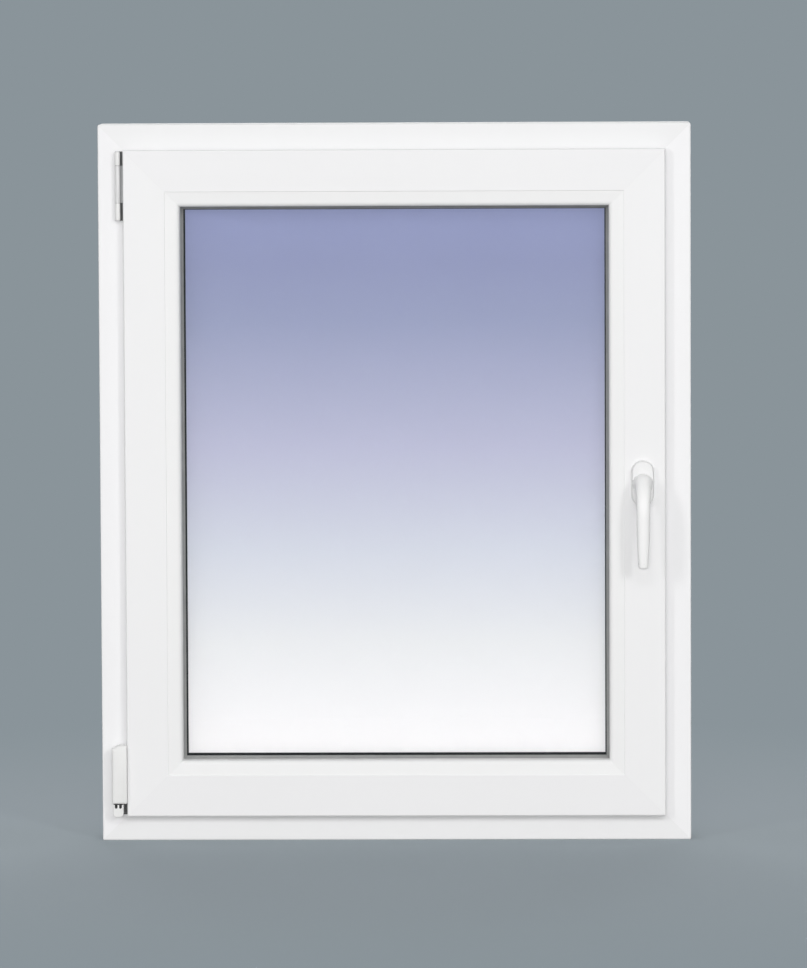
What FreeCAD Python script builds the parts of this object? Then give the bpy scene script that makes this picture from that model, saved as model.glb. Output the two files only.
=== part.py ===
import FreeCAD, Part
import math
import os
import Sketcher

# A single-leaf tilt and turn window of white plastic profiles, shut, seen from the room.
# X runs to the right, Z up and Y to the outside, so the room is at negative Y.
# The origin is on the underside of the sill bar, in the middle of its length and depth.
# Most sizes across a bar are counted inward from the outer edge of the frame ("reach").

SIZES = {
    # Outer frame
    "frame_width": 820,
    "frame_height": 997,
    "frame_depth": 70,
    "frame_face": 43.5,
    "frame_edge_round": 2,
    "frame_corner_round": 3,
    "stop_height": 21.5,
    "stop_thickness": 10,
    "weather_slope": 3,
    "weather_round": 1.5,
    "rebate_fall": 3.5,
    "rebate_flat": 38,
    "anchor_groove_mouth": 12,
    "anchor_groove_base": 16,
    "anchor_groove_deep": 4,
    "anchor_groove_pitch": 32,
    # Sash
    "sash_proud": 18,
    "sash_face": 57.5,
    "sash_edge_round": 2,
    "sash_inner_round": 0.8,
    "overlap": 8,
    "gear_gap": 12,
    "gear_groove_width": 16,
    "gear_groove_deep": 4,
    "gear_groove_offset": 13,
    "glazing_rebate": 20.5,
    "glazing_leg": 16,
    # Glazing beads
    "bead_width": 20.5,
    "bead_setback": 1.2,
    "bead_fall": 1.6,
    "bead_round": 6,
    "bead_foot_deep": 3.5,
    "bead_foot_thickness": 3,
    "bead_foot_place": 7,
    # Insulated glass
    "pane_thickness": 4,
    "pane_gap": 16,
    "glass_clearance": 5,
    "seal_height": 5,
    "spacer_height": 8,
    "packer_length": 100,
    "packer_inset": 60,
    "packer_width": 22,
    # Gaskets
    "lip_gasket": 4,
    "lip_gasket_width": 5,
    "stop_gasket": 4,
    "stop_gasket_width": 11,
    "outer_gasket": 4,
    "outer_gasket_width": 9,
    "inner_gasket": 3,
    "inner_gasket_width": 10,
    "gasket_foot": 3,
    "outer_tongue": 5.5,
    "inner_tongue": 4,
    "inner_tongue_rise": 4,
    # Handle
    "handle_backset": 31.7,
    "handle_height": 499,
    "rosette_width": 32,
    "rosette_height": 64,
    "rosette_thickness": 11,
    "rosette_draft": 9,
    "rosette_round": 1.2,
    "neck_radius": 8,
    "neck_running_gap": 0.5,
    "spindle_width": 7,
    "spindle_reach": 30,
    "spindle_socket": 10,
    "spindle_bore_radius": 6,
    "spindle_bore_spare": 3,
    "hub_radius": 14,
    "hub_rise": 5,
    "elbow_reach": 31,
    "elbow_drop": 44,
    "lever_drop": 115,
    "grip_width": 18.6,
    "grip_thickness": 14.5,
    "tip_width": 13.2,
    "tip_thickness": 10.5,
    "tip_round": 2,
    "rosette_screw_spacing": 43,
    "rosette_screw_radius": 2.5,
    "rosette_screw_length": 30,
    "rosette_screw_head_depth": 5,
    # Hinges
    "hinge_offset": 7.7,
    "running_gap": 0.3,
    "barrel_radius": 3.5,
    "barrel_stand": 4.2,
    "barrel_web": 2.6,
    "barrel_round": 2,
    "hinge_pin_radius": 1.6,
    "hinge_plate": 1.5,
    "hinge_plate_reach": 1.3,
    "upper_hinge_drop": 1.5,
    "top_cap_length": 19.2,
    "stay_cap_length": 52.3,
    "bottom_cap_length": 24.2,
    "cap_joint_gap": 0.5,
    "pin_end_cover": 1.5,
    "stay_plate": 1.8,
    "cover_gap": 0.5,
    "cover_width": 20.2,
    "cover_lip": 2.2,
    "cover_height": 81.5,
    "cover_lift": 18.4,
    "cover_stand": 25,
    "cover_wall": 1.5,
    "cover_bevel_width": 9,
    "cover_bevel_drop": 5,
    "cover_round": 3,
    "bearing_gap": 5.2,
    "bearing_width": 14.4,
    "bearing_lift": -0.5,
    "bearing_height": 17.6,
    "bearing_stand": 23,
    "bearing_round": 5,
    "bearing_front_round": 1.2,
    "bearing_notch_radius": 1.9,
    "bearing_notch_deep": 5.4,
    "bearing_notch_first": 4.3,
    "bearing_notch_pitch": 6,
    "bearing_notch_run": 4,
    "pivot_radius": 1.7,
    "pivot_length": 32,
    "pivot_seat": 10,
    "leaf_plate": 1.8,
    "leaf_height": 72,
    "leaf_knuckle": 30,
    "leaf_knuckle_radius": 4,
    # Drainage on the outside of the sill
    "drain_inset": 150,
    "drain_height": 16,
    "drain_slot_width": 28,
    "drain_slot_height": 6,
    "drain_slot_deep": 9,
    "drain_cap_width": 42,
    "drain_cap_height": 13,
    "drain_cap_thickness": 4,
    "drain_cap_round": 2,
    "drain_cap_wall": 2,
}

SHEET = "Sizes"
OUT_FOLDER = "parts"
MATCH_MM = 0.01
NODES = []

# Points on the rounding of a frame corner, from the mitre to the bar's outer side
CORNER_ANGLES = (45, 30, 15, 0)

# Where the lever's oval sections stand, and how its outline changes between them
HUB_WAIST = 0.93
HUB_FLARE_POWER = 2
ELBOW_ANGLES = (0, 10, 20, 30, 40, 50, 60, 70, 80, 90)
GRIP_SHARES = (0.25, 0.5, 0.75, 1)
GRIP_TAPER_POWER = 2.2
TIP_ANGLES = (35, 65, 90)

# How far round the back of a barrel its web is seated, as a share of the radius
WEB_SEAT = 0.5

doc = FreeCAD.newDocument("tilt_and_turn_window")


def fill_sheet():
    """Writes every driving size in a cell of its own, beside its name."""
    sheet = doc.addObject("Spreadsheet::Sheet", SHEET)
    for row, (alias, number) in enumerate(SIZES.items(), start=1):
        sheet.set(f"A{row}", alias)
        sheet.set(f"B{row}", str(number))
        sheet.setAlias(f"B{row}", alias)
    doc.recompute()


class Size:
    """A length with its number now and the expression that ties it to the sheet."""

    def __init__(self, number, text):
        self.number = number
        self.text = text

    def joined(self, sign, other, number):
        return Size(number, f"({self.text} {sign} {other.text})")

    def __add__(self, other):
        other = as_size(other)
        return self.joined("+", other, self.number + other.number)

    def __sub__(self, other):
        other = as_size(other)
        return self.joined("-", other, self.number - other.number)

    def __mul__(self, other):
        other = as_size(other)
        return self.joined("*", other, self.number * other.number)

    def __truediv__(self, other):
        other = as_size(other)
        return self.joined("/", other, self.number / other.number)

    def __neg__(self):
        return Size(-self.number, f"(-1 * {self.text})")

    def __rmul__(self, other):
        return as_size(other) * self


def as_size(value):
    """A plain number as a size that no cell changes."""
    if isinstance(value, Size):
        return value
    return Size(float(value), f"({float(value)!r})")


def size(alias):
    """The size that the sheet holds under a name."""
    return Size(float(SIZES[alias]), f"{SHEET}.{alias}")


def bind(thing, prop, value):
    """Ties one property of an object to the sheet."""
    thing.setExpression(prop, as_size(value).text)


def place(thing, x=0, y=0, z=0, axis=(0, 1, 0), angle=0):
    """Turns an object by a fixed angle and ties its position to the sheet."""
    x, y, z = as_size(x), as_size(y), as_size(z)
    turn = FreeCAD.Rotation(FreeCAD.Vector(*axis), angle)
    thing.Placement = FreeCAD.Placement(FreeCAD.Vector(x.number, y.number, z.number), turn)
    bind(thing, "Placement.Base.x", x)
    bind(thing, "Placement.Base.y", y)
    bind(thing, "Placement.Base.z", z)


def node(thing, label):
    """Names a finished sub-part, which is written under that name."""
    thing.Label = label
    NODES.append(thing)
    return thing


# Planes across the bars' depth, from the room to the outside
frame_front = -size("frame_depth") / 2
frame_rear = size("frame_depth") / 2
sash_front = frame_front - size("sash_proud")
lip_rear = frame_front - size("lip_gasket")
stop_front = frame_rear - size("stop_thickness")
sash_rear = stop_front - size("stop_gasket")
glazing_leg_front = sash_rear - size("glazing_leg")
outer_pane_rear = glazing_leg_front - size("outer_gasket")
outer_pane_front = outer_pane_rear - size("pane_thickness")
inner_pane_rear = outer_pane_front - size("pane_gap")
inner_pane_front = inner_pane_rear - size("pane_thickness")
bead_rear = inner_pane_front - size("inner_gasket")
bead_front = sash_front + size("bead_setback")

# Reaches inward from the outer edge of the frame
rebate_floor = size("frame_face")
stop_edge = rebate_floor + size("stop_height")
sash_edge = rebate_floor - size("overlap")
sash_body = rebate_floor + size("gear_gap")
glazing_floor = sash_edge + size("sash_face")
glazing_leg_edge = glazing_floor + size("glazing_rebate")
bead_edge = glazing_floor + size("bead_width")
glass_edge = glazing_floor + size("glass_clearance")
seal_edge = glass_edge + size("seal_height")
spacer_edge = seal_edge + size("spacer_height")
daylight_edge = bead_edge + size("inner_tongue")

half_width = size("frame_width") / 2
half_height = size("frame_height") / 2
mitre_reach = glazing_leg_edge + size("bead_width")
mitre_margin = size("frame_depth") / 10

# The four sides of every frame: where the outer edge lies, how far it is turned, its length
SIDES = {
    "left": {"x": -half_width, "z": half_height, "angle": 0, "length": size("frame_height")},
    "bottom": {"x": as_size(0), "z": as_size(0), "angle": -90, "length": size("frame_width")},
    "right": {"x": half_width, "z": half_height, "angle": 180, "length": size("frame_height")},
    "top": {"x": as_size(0), "z": size("frame_height"), "angle": 90, "length": size("frame_width")},
}


def origin_plane(body, role):
    """One of a body's own origin planes."""
    return next(plane for plane in body.Origin.OriginFeatures if plane.Role == role)


def add_loop(sketch, corners):
    """Draws a closed loop of straight sides and ties both coordinates of each corner."""
    first = sketch.GeometryCount
    points = [(as_size(across), as_size(along)) for across, along in corners]
    vectors = [FreeCAD.Vector(across.number, along.number, 0) for across, along in points]
    count = len(points)
    sides = [Part.LineSegment(vectors[i], vectors[(i + 1) % count]) for i in range(count)]
    sketch.addGeometry(sides, False)
    joins = []
    for i in range(count):
        joins.append(Sketcher.Constraint("Coincident", first + i, 2, first + (i + 1) % count, 1))
    sketch.addConstraint(joins)
    for i, (across, along) in enumerate(points):
        for kind, value in (("DistanceX", across), ("DistanceY", along)):
            number = sketch.addConstraint(Sketcher.Constraint(kind, first + i, 1, value.number))
            bind(sketch, f"Constraints[{number}]", value)


def outline(body, name, role, *loops):
    """A sketch of one or more closed loops on one of the body's origin planes."""
    sketch = body.newObject("Sketcher::SketchObject", name)
    sketch.AttachmentSupport = (origin_plane(body, role), "")
    sketch.MapMode = "FlatFace"
    for corners in loops:
        add_loop(sketch, corners)
    return sketch


def edges_along(feature, spots):
    """The names of a bar's long straight edges that pass through the given corners."""
    names = []
    wanted = [(as_size(across).number, as_size(along).number) for across, along in spots]
    for index, edge in enumerate(feature.Shape.Edges, start=1):
        ends = [vertex.Point for vertex in edge.Vertexes]
        if len(ends) != 2 or ends[0].distanceToPoint(ends[1]) < size("frame_depth").number:
            continue
        for across, along in wanted:
            gaps = [math.hypot(end.x - across, end.y - along) for end in ends]
            if max(gaps) < MATCH_MM:
                names.append(f"Edge{index}")
    return names


def mitre_outline(half, corner_round):
    """What is cut off a bar's upper end: all past the mitre, and the rounding of its corner."""
    far = half + mitre_margin
    points = [(-mitre_margin, far), (mitre_reach, far), (mitre_reach, half - mitre_reach)]
    if corner_round is None:
        return points
    for angle in CORNER_ANGLES:
        turn = math.radians(angle)
        inward = corner_round * (1 - math.cos(turn))
        points.append((inward, half - corner_round * (1 - math.sin(turn))))
    points.append((-mitre_margin, half - corner_round))
    return points


def mitred_bar(label, side_name, corners, rounds, corner_round=None):
    """One bar of a frame: its section extruded, its edges eased and both ends mitred."""
    side = SIDES[side_name]
    body = doc.addObject("PartDesign::Body", label)
    section = outline(body, "Section", "XY_Plane", corners)
    bar = body.newObject("PartDesign::Pad", "Extrusion")
    bar.Profile = section
    bar.Midplane = True
    bind(bar, "Length", side["length"])
    doc.recompute()
    for radius, spots in rounds:
        names = edges_along(bar, spots)
        ease = body.newObject("PartDesign::Fillet", "Easing")
        ease.Base = (bar, names)
        bind(ease, "Radius", radius)
        doc.recompute()
        bar = ease
    upper = mitre_outline(side["length"] / 2, corner_round)
    lower = [(across, -along) for across, along in upper]
    ends = outline(body, "MitreOutline", "XZ_Plane", upper, lower)
    mitre = body.newObject("PartDesign::Pocket", "Mitre")
    mitre.Profile = ends
    mitre.Type = "ThroughAll"
    mitre.Midplane = True
    place(body, x=side["x"], z=side["z"], angle=side["angle"])
    doc.recompute()
    return node(body, label)


def swept_ring(label, run, corners):
    """A ring in one piece: a section carried round a rectangle that lies `run` inward."""
    body = doc.addObject("PartDesign::Body", label)
    right, top = half_width - run, half_height - run
    path = outline(
        body, "Path", "XZ_Plane", [(-right, -top), (right, -top), (right, top), (-right, top)]
    )
    section = outline(
        body, "Section", "XY_Plane", [(as_size(reach) - half_width, depth) for reach, depth in corners]
    )
    doc.recompute()
    sweep = body.newObject("PartDesign::AdditivePipe", "Sweep")
    sweep.Profile = section
    sweep.Spine = (path, [f"Edge{i}" for i in range(1, 5)])
    sweep.Transition = "Right corner"
    place(body, z=half_height)
    doc.recompute()
    return node(body, label)


def block(name, low, high):
    """A box between two corners, each given as x, y, z."""
    box = doc.addObject("Part::Box", name)
    spans = [as_size(far) - as_size(near) for near, far in zip(low, high)]
    for prop, span in zip(("Length", "Width", "Height"), spans):
        bind(box, prop, span)
    place(box, *low)
    return box


def rod(name, radius, length, x, y, z, along="z"):
    """A cylinder that starts at a point and runs up (z) or towards the room (y)."""
    cylinder = doc.addObject("Part::Cylinder", name)
    bind(cylinder, "Radius", radius)
    bind(cylinder, "Height", length)
    place(cylinder, x, y, z, axis=(1, 0, 0), angle=90 if along == "y" else 0)
    return cylinder


def fused(name, *pieces):
    """Several solids joined in one."""
    whole = doc.addObject("Part::MultiFuse", name)
    whole.Shapes = list(pieces)
    whole.Refine = True
    doc.recompute()
    return whole


def cut(name, base, *tools):
    """A solid with others taken out of it."""
    for tool in tools:
        left = doc.addObject("Part::Cut", name)
        left.Base = base
        left.Tool = tool
        left.Refine = True
        base = left
    doc.recompute()
    return base


def anchor_groove(middle):
    """The dovetail groove in the frame's outer side that holds its wall anchors."""
    mouth, base = size("anchor_groove_mouth") / 2, size("anchor_groove_base") / 2
    deep = size("anchor_groove_deep")
    return [(0, middle + mouth), (deep, middle + base), (deep, middle - base), (0, middle - mouth)]


def frame_section():
    """Frame profile: room face, rebate floor that falls outward, stop leg, grooved outer side."""
    foot = size("gasket_foot")
    foot_at = stop_edge - size("stop_gasket_width") / 2 - foot / 2
    half_pitch = size("anchor_groove_pitch") / 2
    fallen = rebate_floor - size("rebate_fall")
    return [
        (0, frame_front),
        (rebate_floor, frame_front),
        (rebate_floor, frame_front + size("rebate_flat")),
        (fallen, stop_front),
        (foot_at, stop_front),
        (foot_at, stop_front + foot),
        (foot_at + foot, stop_front + foot),
        (foot_at + foot, stop_front),
        (stop_edge, stop_front),
        (stop_edge - size("weather_slope"), frame_rear),
        (0, frame_rear),
        *anchor_groove(half_pitch),
        *anchor_groove(-half_pitch),
    ]


def sash_section():
    """Sash profile: room face, bead groove, glazing rebate and leg, gear groove, overlapping lip."""
    foot = size("gasket_foot")
    outer_foot_at = glazing_leg_edge - size("outer_gasket_width") / 2 - foot / 2
    lip_foot_at = sash_edge + size("overlap") / 2 - foot / 2
    bead_groove = sash_front + size("bead_foot_place")
    bead_groove_floor = glazing_floor - size("bead_foot_deep")
    gear_middle = lip_rear + size("gear_groove_offset")
    gear_half = size("gear_groove_width") / 2
    gear_floor = sash_body + size("gear_groove_deep")
    return [
        (sash_edge, sash_front),
        (glazing_floor, sash_front),
        (glazing_floor, bead_groove),
        (bead_groove_floor, bead_groove),
        (bead_groove_floor, bead_groove + size("bead_foot_thickness")),
        (glazing_floor, bead_groove + size("bead_foot_thickness")),
        (glazing_floor, glazing_leg_front),
        (outer_foot_at, glazing_leg_front),
        (outer_foot_at, glazing_leg_front + foot),
        (outer_foot_at + foot, glazing_leg_front + foot),
        (outer_foot_at + foot, glazing_leg_front),
        (glazing_leg_edge, glazing_leg_front),
        (glazing_leg_edge - size("weather_slope"), sash_rear),
        (sash_body, sash_rear),
        (sash_body, gear_middle + gear_half),
        (gear_floor, gear_middle + gear_half),
        (gear_floor, gear_middle - gear_half),
        (sash_body, gear_middle - gear_half),
        (sash_body, lip_rear),
        (lip_foot_at + foot, lip_rear),
        (lip_foot_at + foot, lip_rear - foot),
        (lip_foot_at, lip_rear - foot),
        (lip_foot_at, lip_rear),
        (sash_edge, lip_rear),
    ]


def bead_section():
    """Glazing bead: clip foot in the sash's groove, back on the gasket, sloped and rounded face."""
    foot_near = sash_front + size("bead_foot_place")
    foot_far = foot_near + size("bead_foot_thickness")
    foot_tip = glazing_floor - size("bead_foot_deep")
    return [
        (glazing_floor, bead_front),
        (bead_edge, bead_front + size("bead_fall")),
        (bead_edge, bead_rear),
        (glazing_floor, bead_rear),
        (glazing_floor, foot_far),
        (foot_tip, foot_far),
        (foot_tip, foot_near),
        (glazing_floor, foot_near),
    ]


def make_frame():
    """Four mitred frame bars."""
    rounds = [
        (size("frame_edge_round"), [(0, frame_front), (0, frame_rear)]),
        (size("weather_round"), [(stop_edge - size("weather_slope"), frame_rear)]),
    ]
    corner = size("frame_corner_round")
    mitred_bar("frame_jamb_left", "left", frame_section(), rounds, corner)
    mitred_bar("frame_jamb_right", "right", frame_section(), rounds, corner)
    mitred_bar("frame_head", "top", frame_section(), rounds, corner)
    sill = mitred_bar("frame_sill", "bottom", frame_section(), rounds, corner)
    cut_drain_slots(sill)


def cut_drain_slots(sill):
    """Two slots through the outside face of the sill, where its caps clip in."""
    for hand in (1, -1):
        middle = hand * (half_width - size("drain_inset"))
        slot = sill.newObject("PartDesign::SubtractiveBox", "DrainSlot")
        bind(slot, "Length", size("drain_slot_height"))
        bind(slot, "Width", size("drain_slot_deep"))
        bind(slot, "Height", size("drain_slot_width"))
        low = size("drain_height") - size("drain_slot_height") / 2
        start = middle - size("drain_slot_width") / 2
        place(slot, low, frame_rear - size("drain_slot_deep"), start)
    doc.recompute()


def make_sash():
    """Four mitred sash bars, and the handle's holes in the stile away from the hinges."""
    rounds = [
        (size("sash_edge_round"), [(sash_edge, sash_front)]),
        (size("sash_inner_round"), [(glazing_floor, sash_front)]),
        (size("weather_round"), [(glazing_leg_edge - size("weather_slope"), sash_rear)]),
    ]
    mitred_bar("sash_hinge_stile", "left", sash_section(), rounds)
    mitred_bar("sash_top_rail", "top", sash_section(), rounds)
    mitred_bar("sash_bottom_rail", "bottom", sash_section(), rounds)
    stile = mitred_bar("sash_handle_stile", "right", sash_section(), rounds)
    reach = sash_edge + size("handle_backset")
    along = half_height - size("handle_height")
    bore_deep = size("spindle_reach") + size("spindle_bore_spare")
    drill(stile, reach, along, size("spindle_bore_radius"), bore_deep)
    for hand in (1, -1):
        spot = along + hand * size("rosette_screw_spacing") / 2
        drill(stile, reach, spot, size("rosette_screw_radius"), size("rosette_screw_length"))


def drill(bar, reach, along, radius, deep):
    """A round blind hole in the room face of a sash bar."""
    hole = bar.newObject("PartDesign::SubtractiveCylinder", "Drilling")
    bind(hole, "Radius", radius)
    bind(hole, "Height", deep)
    place(hole, reach, sash_front + deep, along, axis=(1, 0, 0), angle=90)
    doc.recompute()


def make_beads():
    """Four mitred glazing beads."""
    rounds = [(size("bead_round"), [(bead_edge, bead_front + size("bead_fall"))])]
    for side in SIDES:
        mitred_bar(f"glazing_bead_{side}", side, bead_section(), rounds)


def make_gaskets():
    """The two seals between sash and frame and the two on the glass, each ring in one piece."""
    foot = size("gasket_foot")
    lip_middle = sash_edge + size("overlap") / 2
    lip_half = size("lip_gasket_width") / 2
    swept_ring(
        "sash_lip_gasket",
        lip_middle,
        [
            (lip_middle - lip_half, frame_front),
            (lip_middle + lip_half, frame_front),
            (lip_middle + lip_half, lip_rear),
            (lip_middle + foot / 2, lip_rear),
            (lip_middle + foot / 2, lip_rear - foot),
            (lip_middle - foot / 2, lip_rear - foot),
            (lip_middle - foot / 2, lip_rear),
            (lip_middle - lip_half, lip_rear),
        ],
    )
    stop_middle = stop_edge - size("stop_gasket_width") / 2
    stop_half = size("stop_gasket_width") / 2
    swept_ring(
        "frame_stop_gasket",
        stop_middle,
        [
            (stop_middle - stop_half, stop_front),
            (stop_middle - foot / 2, stop_front),
            (stop_middle - foot / 2, stop_front + foot),
            (stop_middle + foot / 2, stop_front + foot),
            (stop_middle + foot / 2, stop_front),
            (stop_middle + stop_half, stop_front),
            (stop_middle + foot / 2, sash_rear),
            (stop_middle - foot / 2, sash_rear),
        ],
    )
    outer_half = size("outer_gasket_width") / 2
    outer_middle = glazing_leg_edge - outer_half
    swept_ring(
        "outer_glazing_gasket",
        outer_middle,
        [
            (outer_middle - outer_half, glazing_leg_front),
            (outer_middle - foot / 2, glazing_leg_front),
            (outer_middle - foot / 2, glazing_leg_front + foot),
            (outer_middle + foot / 2, glazing_leg_front + foot),
            (outer_middle + foot / 2, glazing_leg_front),
            (glazing_leg_edge, glazing_leg_front),
            (glazing_leg_edge + size("outer_tongue"), outer_pane_rear),
            (outer_middle - outer_half, outer_pane_rear),
        ],
    )
    inner_start = bead_edge - size("inner_gasket_width")
    swept_ring(
        "inner_glazing_gasket",
        bead_edge,
        [
            (inner_start, bead_rear),
            (bead_edge, bead_rear),
            (bead_edge, bead_rear - size("inner_tongue_rise")),
            (daylight_edge, inner_pane_front),
            (inner_start, inner_pane_front),
        ],
    )


def make_glass():
    """Two panes with a spacer bar and an edge seal between them, on packers."""
    right, top = half_width - glass_edge, size("frame_height") - glass_edge
    for label, front in (("inner_glass_pane", inner_pane_front), ("outer_glass_pane", outer_pane_front)):
        pane = block(
            label, (-right, front, glass_edge), (right, front + size("pane_thickness"), top)
        )
        node(pane, label)
    for label, start, end in (
        ("glass_spacer_bar", seal_edge, spacer_edge),
        ("glass_edge_seal", glass_edge, seal_edge),
    ):
        swept_ring(
            label,
            (start + end) / 2,
            [
                (start, inner_pane_rear),
                (end, inner_pane_rear),
                (end, outer_pane_front),
                (start, outer_pane_front),
            ],
        )
    make_packers()


def make_packers():
    """Packers under the glass and, crosswise, at its top corner away from the hinges."""
    left, right = -half_width + glazing_floor, half_width - glazing_floor
    low, high = glazing_floor, size("frame_height") - glazing_floor
    near, far = size("packer_inset"), size("packer_inset") + size("packer_length")
    gap = size("glass_clearance")
    front = inner_pane_front + (outer_pane_rear - inner_pane_front - size("packer_width")) / 2
    rear = front + size("packer_width")
    blocks = [
        block("Packer", (left + near, front, low), (left + far, rear, low + gap)),
        block("Packer", (right - far, front, low), (right - near, rear, low + gap)),
        block("Packer", (right - far, front, high - gap), (right - near, rear, high)),
        block("Packer", (left, front, low + near), (left + gap, rear, low + far)),
        block("Packer", (right - gap, front, high - far), (right, rear, high - near)),
    ]
    packers = doc.addObject("Part::Compound", "Packers")
    packers.Links = blocks
    doc.recompute()
    node(packers, "glazing_packers")


handle_x = half_width - sash_edge - size("handle_backset")
handle_z = size("handle_height")


def stadium(body, name, half_wide, half_high):
    """A sketch of an upright oblong with half-round ends."""
    sketch = body.newObject("Sketcher::SketchObject", name)
    sketch.AttachmentSupport = (origin_plane(body, "XZ_Plane"), "")
    sketch.MapMode = "FlatFace"
    radius, rise = half_wide.number, (half_high - half_wide).number
    axis = FreeCAD.Vector(0, 0, 1)
    circles = [Part.Circle(FreeCAD.Vector(0, hand * rise, 0), axis, radius) for hand in (1, -1)]
    upper = sketch.addGeometry(Part.ArcOfCircle(circles[0], 0, math.pi))
    lower = sketch.addGeometry(Part.ArcOfCircle(circles[1], math.pi, 2 * math.pi))
    corners = [FreeCAD.Vector(x * radius, z * rise, 0) for x, z in ((-1, 1), (-1, -1), (1, -1), (1, 1))]
    left = sketch.addGeometry(Part.LineSegment(corners[0], corners[1]))
    right = sketch.addGeometry(Part.LineSegment(corners[2], corners[3]))
    for first, first_end, second, second_end in (
        (upper, 2, left, 1),
        (left, 2, lower, 1),
        (lower, 2, right, 1),
        (right, 2, upper, 1),
    ):
        joint = Sketcher.Constraint("Tangent", first, first_end, second, second_end)
        sketch.addConstraint(joint)
    for arc, hand in ((upper, 1), (lower, -1)):
        centre = hand * (half_high - half_wide)
        for kind, value in (("DistanceX", as_size(0)), ("DistanceY", centre)):
            number = sketch.addConstraint(Sketcher.Constraint(kind, arc, 3, value.number))
            bind(sketch, f"Constraints[{number}]", value)
    number = sketch.addConstraint(Sketcher.Constraint("Radius", upper, radius))
    bind(sketch, f"Constraints[{number}]", half_wide)
    return sketch


def make_rosette():
    """Oblong plate under the lever, its sides drafted, with the neck's bore and two screws."""
    thick = size("rosette_thickness")
    body = doc.addObject("PartDesign::Body", "Rosette")
    face = stadium(body, "RosetteOutline", size("rosette_width") / 2, size("rosette_height") / 2)
    plate = body.newObject("PartDesign::Pad", "RosettePad")
    plate.Profile = face
    bind(plate, "Length", thick)
    bind(plate, "TaperAngle", -size("rosette_draft"))
    doc.recompute()
    round_edges(body, plate, front_edges(plate, -thick), size("rosette_round"))
    take_along(body, size("neck_radius") + size("neck_running_gap"), thick, as_size(0))
    head = thick - size("rosette_screw_head_depth")
    length = size("rosette_screw_length")
    screws = []
    for hand in (1, -1):
        rise = hand * size("rosette_screw_spacing") / 2
        take_along(body, size("rosette_screw_radius"), head, rise)
        start_y, radius = sash_front + length, size("rosette_screw_radius")
        screws.append(rod("Screw", radius, length + head, handle_x, start_y, handle_z + rise, "y"))
    place(body, handle_x, sash_front, handle_z)
    doc.recompute()
    node(body, "handle_rosette")
    pair = doc.addObject("Part::Compound", "Screws")
    pair.Links = screws
    doc.recompute()
    node(pair, "handle_screws")


def take_along(body, radius, deep, rise):
    """Takes a round hole out of a body, from its back towards the room."""
    hole = body.newObject("PartDesign::SubtractiveCylinder", "PlateHole")
    bind(hole, "Radius", radius)
    bind(hole, "Height", deep)
    place(hole, 0, 0, rise, axis=(1, 0, 0), angle=90)
    doc.recompute()


def lever_station(name, half_across, half_thick, stand, drop, angle):
    """One oval section of the lever, square to its middle line at a stand off the sash."""
    oval = doc.addObject("Part::Ellipse", name)
    oval.MajorRadius = half_across.number
    oval.MinorRadius = half_thick.number
    bind(oval, "MajorRadius", half_across)
    bind(oval, "MinorRadius", half_thick)
    place(oval, handle_x, sash_front - stand, handle_z - drop, axis=(1, 0, 0), angle=90 + angle)
    return oval


def lever_stations():
    """Ovals along the lever: out from the rosette, round the elbow and down the grip."""
    hub = size("hub_radius")
    start = size("rosette_thickness") + size("neck_running_gap")
    reach, fall = size("elbow_reach"), size("elbow_drop")
    grip, grip_thick = size("grip_width") / 2, size("grip_thickness") / 2
    bend_start = start + size("hub_rise")
    stations = [lever_station("HubStation", hub, hub, start, as_size(0), 0)]
    for angle in ELBOW_ANGLES:
        turn = math.radians(angle)
        flare = (1 - math.sin(turn)) ** HUB_FLARE_POWER
        across = grip + (hub * HUB_WAIST - grip) * flare
        thick = grip_thick + (hub * HUB_WAIST - grip_thick) * flare
        out = bend_start + reach * math.sin(turn)
        drop = fall * (1 - math.cos(turn))
        slope = math.atan2(fall.number * math.sin(turn), reach.number * math.cos(turn))
        tilt = math.degrees(slope)
        stations.append(lever_station("ElbowStation", across, thick, out, drop, tilt))
    stand = bend_start + reach
    tip, tip_thick = size("tip_width") / 2, size("tip_thickness") / 2
    straight = size("lever_drop") - fall - size("tip_round")
    for share in GRIP_SHARES:
        taper = share**GRIP_TAPER_POWER
        across = grip + (tip - grip) * taper
        thick = grip_thick + (tip_thick - grip_thick) * taper
        drop = fall + straight * share
        stations.append(lever_station("GripStation", across, thick, stand, drop, 90))
    for angle in TIP_ANGLES:
        inset = size("tip_round") * (1 - math.cos(math.radians(angle)))
        drop = fall + straight + size("tip_round") * math.sin(math.radians(angle))
        stations.append(
            lever_station("TipStation", tip - inset, tip_thick - inset, stand, drop, 90)
        )
    return stations


def make_lever():
    """The lever with its neck in the rosette's bore, and the square spindle into the gear."""
    gap = size("neck_running_gap")
    start = size("rosette_thickness") + gap
    grip = doc.addObject("Part::Loft", "LeverLoft")
    grip.Sections = lever_stations()
    grip.Solid = True
    grip.Ruled = True
    doc.recompute()
    neck = rod("Neck", size("neck_radius"), start - gap, handle_x, sash_front - gap, handle_z, "y")
    lever = fused("LeverBody", grip, neck)
    half = size("spindle_width") / 2
    socket_end = sash_front - gap - size("spindle_socket")
    low = (handle_x - half, socket_end, handle_z - half)
    high = (handle_x + half, sash_front - gap, handle_z + half)
    node(cut("Lever", lever, block("SpindleSocket", low, high)), "handle_lever")
    bar = block("Spindle", low, (high[0], sash_front + size("spindle_reach"), high[2]))
    node(bar, "handle_spindle")


sash_left = -half_width + sash_edge
hinge_x = sash_left - size("hinge_offset")
hinge_y = frame_front - size("barrel_stand") - size("barrel_radius")


def hinge_cap(label, low, high):
    """One barrel-shaped cap of the upper hinge, bored for the pin."""
    barrel = rod("Barrel", size("barrel_radius"), high - low, hinge_x, hinge_y, low)
    bore = rod("Bore", size("hinge_pin_radius"), high - low, hinge_x, hinge_y, low)
    return node(cut("Cap", barrel, bore), label)


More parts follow.
